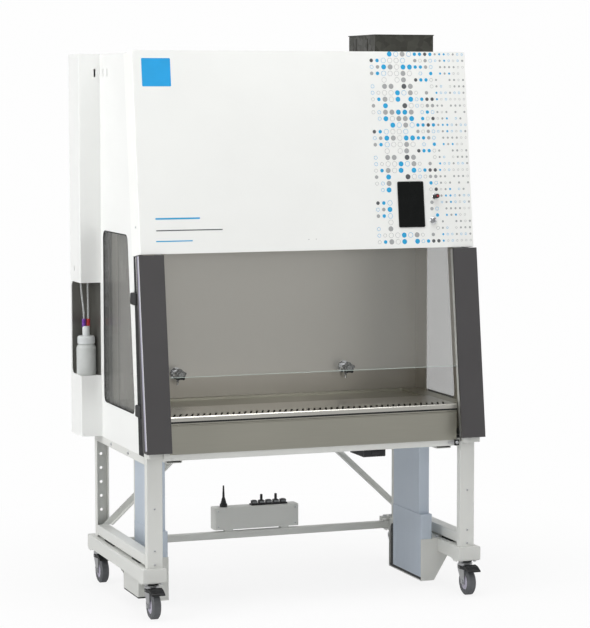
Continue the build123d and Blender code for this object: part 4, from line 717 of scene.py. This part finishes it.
class CABINET_OT_fascia_fittings(bpy.types.Operator):
    """Screen gasket, switch collars, foam with painted joint shade, and screws of the fascia"""
    bl_idname = "cabinet.fascia_fittings"
    bl_label = "Fascia fittings"

    def execute(self, context):
        face = on_fascia()
        outwards = Matrix.Rotation(math.radians(90), 4, "X")
        self.gasket(face)
        bm = bmesh.new()
        for x, s, r in SWITCH_COLLARS:
            seat = face @ Matrix.Translation((x, -0.0002, -s)) @ outwards
            collar = [(r - 0.0022, 0), (r, 0), (r, 0.0012), (r - 0.0010, 0.0024), (r - 0.0026, 0.0024)]
            lathe(bm, collar, seat, 28)
        piece("switch_collars", bm, "chrome_plate", "fascia", smooth=True)
        lens_r, switch_front, lens_front = 0.0040, 0.0240, 0.0246
        x, s = ROUND_SWITCH
        bm = bmesh.new()
        lathe(bm, [(lens_r, switch_front), (lens_r, lens_front)],
              face @ Matrix.Translation((x, 0, -s)) @ outwards, 20)
        piece("switch_lens", bm, "red_abs", "round_switch")
        self.joint_lines(face)
        return {"FINISHED"}

    def gasket(self, face):
        """Rubber frame round the screen, from just inside its edge to 2 mm outside it."""
        gasket_t, gasket_proud = 0.0024, 0.0026
        bm = bmesh.new()
        outer, inner = [round_rect(SCREEN_LEFT - grow, -SCREEN_FOOT - grow, SCREEN_RIGHT + grow,
                                   -SCREEN_TOP + grow, corner)
                        for grow, corner in ((0.002, 0.006), (-0.0005, 0.005))]
        ring_band(bm, outer, inner, gasket_t, face @ Matrix.Translation((0, -gasket_proud, 0)))
        piece("screen_gasket", bm, "epdm_rubber", "fascia")

    def joint_lines(self, face):
        """Dark foam strips in the joint between fascia and side panels, reaching behind the fascia's return
        so that their black paints the shade in the joint, and the screws near them.
        """
        strip_in, strip_out = 0.6522, 0.6548
        strip_front, strip_rear = 0.020, 0.117
        strip_foot, strip_top = -0.738, -0.006
        side_screw = (0.6581, 0.040, -0.640)
        top_screws_x, top_screws_y = (-0.40, 0.0, 0.40), 0.050
        head_d = 0.010
        bm = bmesh.new()
        # Partly foam, partly painted shade: the black behind the return's rear edge stands for the shadow in
        # the joint.
        for side in SIDES:
            x0, x1 = sorted((side * strip_in, side * strip_out))
            bar(bm, (x0, strip_front, strip_foot), (x1, strip_rear, strip_top), face)
        piece("fascia_foam_and_joint_shade", bm, "epdm_rubber", "fascia")
        bm = bmesh.new()
        for side in SIDES:
            x, y, z = side_screw
            button_head(bm, face @ Vector((side * x, y, z)), (side, 0, 0), head_d)
        for x in top_screws_x:
            button_head(bm, face @ Vector((x, top_screws_y, 0.0001)), face.to_3x3() @ Vector(UP), head_d)
        piece("fascia_screws", bm, ["zinc_plate", "black_abs"], "fascia", smooth=True)


class CABINET_OT_fasteners(bpy.types.Operator):
    """Screws and bolts of the stand, base, panels and back"""
    bl_idname = "cabinet.fasteners"
    bl_label = "Fasteners"

    def execute(self, context):
        self.cabinet_screws(context.scene.fastenings)
        self.base_screws(context.scene.fastenings)
        return {"FINISHED"}

    def cabinet_screws(self, heads):
        """Screws of the legs, top rails, lift rails, braces, right panel and back."""
        leg_x, leg_face = 621, -330.2
        rail_face, rail_z = 650.2, 581.6
        lift_x, lift_rail_top = 535.5, 595.2
        brace_x, brace_face, brace_z = 238, 348, 576
        panel_face, panel_y = 652.7, 380
        back_face = 411.2
        small = heads.button_d * 0.8
        bm = bmesh.new()
        for side in SIDES:
            for z in (201, 251.6, 405.5):
                button_head(bm, place(side * leg_x, leg_face, z), FRONT, heads.button_d)
            for y in (-93, 143):
                button_head(bm, place(side * rail_face, y, rail_z), (side, 0, 0), heads.rail_d)
            for y in (-60, 60):
                hex_head(bm, place(side * lift_x, y, lift_rail_top), UP, heads.hex_d)
            button_head(bm, place(side * brace_x, brace_face, brace_z), FRONT, heads.button_d)
        for z in (690, 1400, 1960):
            button_head(bm, place(panel_face, panel_y, z), (1, 0, 0), small)
        for x in (-560, -190, 190, 560):
            for z in (700, 1200, 1700, 2020):
                button_head(bm, place(x, back_face, z), REAR, small)
        piece("cabinet_screws", bm, ["zinc_plate", "black_abs"], "cabinet", smooth=True)

    def base_screws(self, heads):
        """Bolts of the lift brackets, caster heads and crossbar, and the control box's screws."""
        bracket_x, bracket_top = 589, 190.1
        caster_x, bolt_out, caster_plate = 625.5, 28, 132.9
        bar_y, bar_top = 370, 191.1
        box_face = 356.8
        bm = bmesh.new()
        for side in SIDES:
            for y in (-120, 165):
                hex_head(bm, place(side * bracket_x, y, bracket_top), UP, heads.hex_d)
            for y in (-329, -279):
                for x in (-bolt_out, bolt_out):
                    hex_head(bm, place(side * caster_x + x, y, caster_plate), DOWN, heads.hex_d * 0.8)
            for x in (567, 592):
                hex_head(bm, place(side * x, bar_y, bar_top), UP, heads.hex_d * 0.8)
        for x in (-152, 173):
            for z in (255, 193):
                button_head(bm, place(x, box_face, z), FRONT, heads.button_d * 0.8)
        piece("base_screws", bm, ["zinc_plate", "black_abs"], "base", smooth=True)


class CABINET_OT_casters(bpy.types.Operator):
    """Hub covers, axle washers and race seals of the four casters"""
    bl_idname = "cabinet.casters"
    bl_label = "Caster details"

    def execute(self, context):
        # The swivel's middle and the wheel's axle behind it, in the cabinet's mm.
        swivel_x, front_y, rear_y = 625.5, -304, 402
        trail, axle_z, race_z = 22, 50, 124.5
        wheel_face, fork_face = 9.9, 20.6
        hub = [(0.0325, 0), (0.0325, 0.0026), (0.0290, 0.0040), (0.0160, 0.0046), (0.0130, 0.0062),
               (0.0125, 0.0062)]
        spokes = 8
        washer = [(0.0105, 0), (0.0105, 0.0010)]
        race = [(0.0235, 0), (0.0262, 0.0012), (0.0262, 0.0032), (0.0235, 0.0044)]
        for corner in CORNERS:
            x = -swivel_x if corner[1] == "l" else swivel_x
            y = front_y if corner[0] == "f" else rear_y
            bm = bmesh.new()
            for side in SIDES:
                seat = facing(place(x + side * wheel_face, y - trail, axle_z), (side, 0, 0))
                lathe(bm, hub, seat, 32)
                for k in range(spokes):
                    spoke = seat @ Matrix.Rotation(2 * math.pi * k / spokes, 4, "Z")
                    bar(bm, (0.0135, -0.0012, 0.0040), (0.0300, 0.0012, 0.0052), spoke)
            piece("hub_covers_" + corner, bm, "hub_polyamide", "wheel_" + corner, smooth=True)
            bm = bmesh.new()
            for side in SIDES:
                seat = facing(place(x + side * fork_face, y - trail, axle_z), (side, 0, 0))
                lathe(bm, washer, seat, 24)
            piece("axle_washers_" + corner, bm, "zinc_plate", "swivel_" + corner, smooth=True)
            bm = bmesh.new()
            lathe(bm, race, facing(place(x, y, race_z), UP), 32)
            piece("race_seal_" + corner, bm, "epdm_rubber", "swivel_" + corner, smooth=True)
        return {"FINISHED"}


class CABINET_OT_windows(bpy.types.Operator):
    """Rubber profiles round the side windows"""
    bl_idname = "cabinet.windows"
    bl_label = "Window seals"

    def execute(self, context):
        seal_t = 0.0021
        bm = bmesh.new()
        for x in (-652.0, 649.9):
            outer = rounded_polygon(self.outline(0.2), 0.0278)
            inner = rounded_polygon(self.outline(4.5), 0.0240)
            ring_band(bm, outer, inner, seal_t, side_face(x))
        piece("window_seals", bm, "epdm_rubber", "cabinet")
        return {"FINISHED"}

    def outline(self, inset):
        """The side window's four corners as (y, z) in metres, inset mm inside its opening."""
        foot, top, rear = 735 + inset, 1393 - inset, 230 - inset
        depth = 176 + inset
        corners = ((slope_y(depth, foot), foot), (rear, foot), (rear, top), (slope_y(depth, top), top))
        return [(y / 1000, z / 1000) for y, z in corners]


class CABINET_OT_sash_details(bpy.types.Operator):
    """Ground glass edge along the foot of the sash, lighter and more opaque than the pane: its frosted grind,
    and a painted highlight along the edge
    """
    bl_idname = "cabinet.sash_details"
    bl_label = "Sash details"

    def execute(self, context):
        # The glass starts 7 mm behind the fascia's face, and its foot is at this height there.
        glass_depth, sash_foot = 7, 884
        half_width = 0.570
        down_slope = (FASCIA_TOP[1] - sash_foot) / math.cos(LEAN) - glass_depth * math.tan(LEAN)
        foot = -down_slope / 1000
        bm = bmesh.new()
        bar(bm, (-half_width, 0.00695, foot - 0.0001), (half_width, 0.01305, foot + 0.0022), on_fascia())
        piece("sash_edge", bm, "glass_edge", "sash")
        return {"FINISHED"}


class CABINET_OT_bottle_details(bpy.types.Operator):
    """Cap ribs and the coloured couplings of the service bottle"""
    bl_idname = "cabinet.bottle_details"
    bl_label = "Bottle details"

    def execute(self, context):
        low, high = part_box("bottle")
        centre = (Vector(low) + Vector(high)) / 2
        top = high[2]
        ribs = 36
        coupling_out, coupling_up = 0.0085, 0.068
        bm = bmesh.new()
        for k in range(ribs):
            turned = Matrix.Translation((centre.x, centre.y, top)) @ Matrix.Rotation(
                2 * math.pi * k / ribs, 4, "Z")
            bar(bm, (0.0325, -0.0008, 0.002), (0.0340, 0.0008, 0.024), turned)
        piece("cap_ribs", bm, "white_cap", "cabinet")
        # Two rings with a fine groove between them.
        coupling = [(0.0070, -0.0040), (0.0076, -0.0030), (0.0076, 0.0120), (0.0073, 0.0125),
                    (0.0073, 0.0140), (0.0076, 0.0145), (0.0076, 0.0265), (0.0070, 0.0275)]
        for name, side in (("violet", -1), ("red", 1)):
            bm = bmesh.new()
            seat = Matrix.Translation((centre.x + side * coupling_out, centre.y, top + coupling_up))
            lathe(bm, coupling, seat, 24)
            piece("coupling_" + name, bm, name + "_abs", "cabinet", smooth=True)
        return {"FINISHED"}


class CABINET_OT_niche_lining(bpy.types.Operator):
    """Steel skins inside the bottle niche, in a darker steel that paints the niche's shade"""
    bl_idname = "cabinet.niche_lining"
    bl_label = "Niche lining"

    def execute(self, context):
        low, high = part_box("service_column")
        # The column's wall with a hair of air, the lining's own thickness, and the niche's foot and top.
        sheet, skin = 0.00252, 0.0004
        z0, z1 = 0.828, 1.190
        x0, x1 = low[0] + sheet, high[0] - sheet
        y0, y1 = low[1] + sheet, high[1] - sheet
        bm = bmesh.new()
        bar(bm, (x0, y1 - skin, z0), (x1, y1, z1))
        bar(bm, (x1 - skin, y0, z0), (x1, y1 - skin, z1))
        bar(bm, (x0, y0, z1 - skin), (x1 - skin, y1 - skin, z1))
        piece("niche_lining", bm, "bare_steel", "cabinet")
        return {"FINISHED"}


class CABINET_OT_guide_trim(bpy.types.Operator):
    """Bright and violet edge strips of the sash guides beside the pillars"""
    bl_idname = "cabinet.guide_trim"
    bl_label = "Guide trim"

    def execute(self, context):
        face = on_fascia()
        trim_in, trim_out = 0.66602, 0.6666
        trim_foot, trim_top = -1.452, -0.7475
        for name, front, rear in (("bright", -0.0072, 0.0010), ("violet", 0.0010, 0.0150)):
            bm = bmesh.new()
            for side in SIDES:
                x0, x1 = sorted((side * trim_in, side * trim_out))
                bar(bm, (x0, front, trim_foot), (x1, rear, trim_top), face)
            piece("guide_trim_" + name, bm, "anodised_" + name, "cabinet")
        return {"FINISHED"}


class CABINET_OT_nose_shade_and_catch(bpy.types.Operator):
    """Dark strip under the grille nose, which paints the shade in the gap there, and the catch at the right
    end of the front beam
    """
    bl_idname = "cabinet.front_seals"
    bl_label = "Front seals"

    def execute(self, context):
        low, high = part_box("front_apron")
        nose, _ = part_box("front_grille")
        end_gap = 0.002
        # A black strip between the grille nose and the apron's bead: painted shade in the gap under the nose.
        bm = bmesh.new()
        bar(bm, (low[0] + end_gap, nose[1] + 0.0008, high[2] - 0.0004),
            (high[0] - end_gap, nose[1] + 0.0040, high[2] + 0.0058))
        piece("nose_shade_strip", bm, "epdm_rubber", "cabinet")
        self.beam_catch(place(574, -330.4, 591))
        return {"FINISHED"}

    def beam_catch(self, middle):
        """A black catch block with a zinc button and tongue, on the front beam's face."""
        block_t = 0.0060
        bm = bmesh.new()
        bar(bm, middle + Vector((-0.009, -block_t, -0.011)), middle + Vector((0.009, -0.0001, 0.011)))
        button = [(0.0062, 0), (0.0062, 0.0030), (0.0050, 0.0042)]
        lathe(bm, button, facing(middle + Vector((0, -block_t, 0)), FRONT), 20, 1)
        tongue = middle + Vector((-0.034, -0.0036, -0.004)), middle + Vector((-0.012, -0.0001, 0.004))
        bar(bm, *tongue, index=1)
        piece("beam_catch", bm, ["black_abs", "zinc_plate"], "cabinet")


class CABINET_OT_base_details(bpy.types.Operator):
    """Socket faces and gland ribs of the control box"""
    bl_idname = "cabinet.base_details"
    bl_label = "Base details"

    def execute(self, context):
        box_top, row_y = 268, 387
        first_socket, pitch = 8.2, 30.4
        socket_up, nut_up, gland_up = 0.018, 0.024, 0.015
        bm = bmesh.new()
        for k in range(5):
            socket = Matrix.Translation(place(first_socket + pitch * k, row_y, box_top))
            seat = socket @ Matrix.Translation((0, 0, socket_up))
            lathe(bm, [(0.0085, 0), (0.0085, 0.0016), (0.0060, 0.0016)], seat, 20)
            bar(bm, (-0.010, -0.0104, -0.010), (0.010, -0.0099, -0.002), seat, 1)
            if k in (1, 3):
                self.ribs(bm, socket, [0.0056] * 4, 0.0016, nut_up, 0.0035, 16)
        gland = Matrix.Translation(place(-121, row_y, box_top))
        self.ribs(bm, gland, [0.0118 - 0.0012 * k for k in range(5)], 0.0022, gland_up, 0.0045, 20)
        piece("socket_faces", bm, ["black_abs", "grey_abs"], "base", smooth=True)
        return {"FINISHED"}

    def ribs(self, bm, foot, radii, rib_t, first_up, pitch, steps):
        """A stack of rings, one for each radius, from first_up above the foot."""
        for k, radius in enumerate(radii):
            lift = Matrix.Translation((0, 0, first_up + k * pitch))
            lathe(bm, [(radius, 0), (radius, rib_t)], foot @ lift, steps)


class CABINET_OT_tap_details(bpy.types.Operator):
    """Index discs on the two service taps"""
    bl_idname = "cabinet.tap_details"
    bl_label = "Tap details"

    def execute(self, context):
        tap_z = 836
        liner_back, tap_reach, gap, knob_length = 195, 46, 0.3, 26
        knob_front = liner_back - tap_reach - gap - knob_length
        disc = [(0.0095, 0), (0.0095, 0.0012), (0.0082, 0.0020)]
        for name, x in (("left", -377), ("right", 316)):
            bm = bmesh.new()
            lathe(bm, disc, facing(place(x, knob_front, tap_z), FRONT), 28)
            piece("tap_disc_" + name, bm, "grey_abs", "tap_knob_" + name, smooth=True)
        return {"FINISHED"}


class CABINET_OT_soft_edges(bpy.types.Operator):
    """Broken edges on the folded sheet and moulded nodes"""
    bl_idname = "cabinet.soft_edges"
    bl_label = "Broken edges"

    def execute(self, context):
        for name in ("fascia", "pillars", "side_panels", "service_column", "caster_beams", "side_frames",
                     "frame_beams", "drive_box", "base_crossbar", "control_box", "guide_clamps",
                     "front_apron", "lift_brackets", "duct", "hand_control", "lift_feet",
                     "control_fittings", "key_switch"):
            bevel = NODES[name].modifiers.new("Edge break", "BEVEL")
            bevel.width = context.scene.fastenings.edge_break
            bevel.segments = 2
            bevel.limit_method = "ANGLE"
            bevel.angle_limit = math.radians(35)
        for name, node in NODES.items():
            if name.startswith("caster_") or name in ("bottle", "bottle_cap", "tap_bodies"):
                shade_smooth(node.data, 30)
        return {"FINISHED"}


class CABINET_OT_stage(bpy.types.Operator):
    """Pale floor, soft lamps and the camera"""
    bl_idname = "cabinet.stage"
    bl_label = "Stage"

    def execute(self, context):
        stage = context.scene.cabinet_stage
        self.floor(stage)
        self.world(context, stage)
        # Each lamp: where it stands, the height it looks at, its width and height, and its power.
        for name, where, target_z, width, height, power in (
                ("left_lamp", (-4.8, -0.6, 2.5), 1.1, 3.2, 3.2, stage.key_power),
                ("front_lamp", (1.4, -5.2, 2.4), 1.0, 4.0, 3.0, stage.front_power),
                ("top_lamp", (-0.1, -0.9, 5.0), 0.8, 3.4, 3.0, stage.top_power),
                ("right_lamp", (4.6, -0.6, 2.2), 1.0, 2.6, 3.0, stage.right_power),
                ("back_lamp", (0.4, 5.0, 2.6), 1.1, 4.0, 3.0, stage.front_power)):
            self.lamp(name, where, (0, 0, target_z), width, height, power)
        self.camera(context, stage)
        context.scene.view_settings.view_transform = "Standard"
        return {"FINISHED"}

    def camera(self, context, stage):
        data = bpy.data.cameras.new("camera")
        data.sensor_fit = "AUTO"
        data.sensor_width = 36
        data.lens = stage.lens
        data.clip_start = 0.1
        data.clip_end = 100
        aim = Matrix.Rotation(-stage.yaw, 4, "Z") @ Matrix.Rotation(math.radians(90) - stage.pitch, 4, "X")
        eye = Matrix.Translation(place(*stage.eye))
        camera = new_object("camera", data)
        camera.matrix_world = eye @ aim @ Matrix.Rotation(stage.roll, 4, "Z")
        context.scene.camera = camera

    def backdrop(self, tree, lit, stage, kind, output, share=None):
        """Shows lit to the object's matte sides, white to the camera and through glass, and the mirrored
        room to metal and gloss. Share is a (node, output) that says how much of the white shows."""
        path = add(tree, "ShaderNodeLightPath")
        seen = add(tree, "ShaderNodeMath", {0: (path, "Is Camera Ray"), 1: (path, "Is Transmission Ray")},
                   operation="MAXIMUM")
        white = add(tree, kind, Color=linear("#FFFFFF"), Strength=0.99)
        room = add(tree, kind, Color=linear("#FFFFFF"), Strength=stage.mirror)
        if share is not None:
            seen = add(tree, "ShaderNodeMath", {0: (seen, "Value"), 1: share}, operation="MULTIPLY")
        plain = add(tree, "ShaderNodeMixShader", {0: (seen, "Value"), 1: (lit, 0), 2: (white, 0)})
        mix = add(tree, "ShaderNodeMixShader",
                  {0: (path, "Is Glossy Ray"), 1: (plain, "Shader"), 2: (room, 0)})
        add(tree, output, {"Surface": (mix, "Shader")})

    def floor(self, stage):
        """Matte studio paper that keeps the object's shadow and fades to white a metre or two away."""
        material = bpy.data.materials.new("studio_floor")
        material.use_nodes = True
        tree = material.node_tree
        tree.nodes.clear()
        paper = add(tree, "ShaderNodeBsdfDiffuse", Color=linear(stage.floor_hex))
        coords = add(tree, "ShaderNodeTexCoord")
        away = add(tree, "ShaderNodeVectorMath", {0: (coords, "Object")}, operation="LENGTH")
        fade = add(tree, "ShaderNodeMapRange", {"Value": (away, "Value")}, interpolation_type="SMOOTHSTEP",
                   From_Min=0.7, From_Max=2.2, To_Min=0.86, To_Max=1.0)
        self.backdrop(tree, paper, stage, "ShaderNodeEmission", "ShaderNodeOutputMaterial", (fade, "Result"))
        bm = bmesh.new()
        bmesh.ops.create_grid(bm, x_segments=1, y_segments=1, size=30)
        mesh = bpy.data.meshes.new("studio_floor")
        bm.to_mesh(mesh)
        bm.free()
        mesh.materials.append(material)
        obj = new_object("studio_floor", mesh)

    def world(self, context, stage):
        """Even light all round."""
        world = bpy.data.worlds.new("studio")
        context.scene.world = world
        world.use_nodes = True
        tree = world.node_tree
        tree.nodes.clear()
        even = add(tree, "ShaderNodeBackground", Color=linear("#FFFFFF"), Strength=stage.world)
        self.backdrop(tree, even, stage, "ShaderNodeBackground", "ShaderNodeOutputWorld")

    def lamp(self, name, where, target, width, height, power):
        data = bpy.data.lights.new(name, "AREA")
        data.shape = "RECTANGLE"
        data.size = width
        data.size_y = height
        data.energy = power
        aim = Vector(target) - Vector(where)
        turn = aim.to_track_quat("-Z", "Y").to_matrix().to_4x4()
        new_object(name, data).matrix_world = Matrix.Translation(where) @ turn


class CABINET_PT_panel(bpy.types.Panel):
    """Lists the cabinet's operators"""
    bl_label = "Cabinet"
    bl_idname = "CABINET_PT_panel"
    bl_space_type = "VIEW_3D"
    bl_region_type = "UI"
    bl_category = "Cabinet"

    def draw(self, context):
        for cls in OPERATORS:
            self.layout.operator(cls.bl_idname)


GROUPS = (
    ("cabinet_paints", CabinetPaints),
    ("fascia_print", FasciaPrint),
    ("fastenings", Fastenings),
    ("cabinet_stage", CabinetStage),
)

OPERATORS = (
    CABINET_OT_finishes,
    CABINET_OT_stage,
    CABINET_OT_fascia_print,
    CABINET_OT_fascia_fittings,
    CABINET_OT_fasteners,
    CABINET_OT_casters,
    CABINET_OT_windows,
    CABINET_OT_sash_details,
    CABINET_OT_bottle_details,
    CABINET_OT_niche_lining,
    CABINET_OT_guide_trim,
    CABINET_OT_nose_shade_and_catch,
    CABINET_OT_base_details,
    CABINET_OT_tap_details,
    CABINET_OT_soft_edges,
)


def register():
    for name, group in GROUPS:
        bpy.utils.register_class(group)
        setattr(bpy.types.Scene, name, bpy.props.PointerProperty(type=group))
    for cls in OPERATORS:
        bpy.utils.register_class(cls)
    bpy.utils.register_class(CABINET_PT_panel)


def unregister():
    bpy.utils.unregister_class(CABINET_PT_panel)
    for cls in reversed(OPERATORS):
        bpy.utils.unregister_class(cls)
    for name, group in reversed(GROUPS):
        delattr(bpy.types.Scene, name)
        bpy.utils.unregister_class(group)


def main():
    register()
    for cls in OPERATORS:
        group, _, call = cls.bl_idname.partition(".")
        getattr(getattr(bpy.ops, group), call)()


if __name__ == "__main__":
    main()
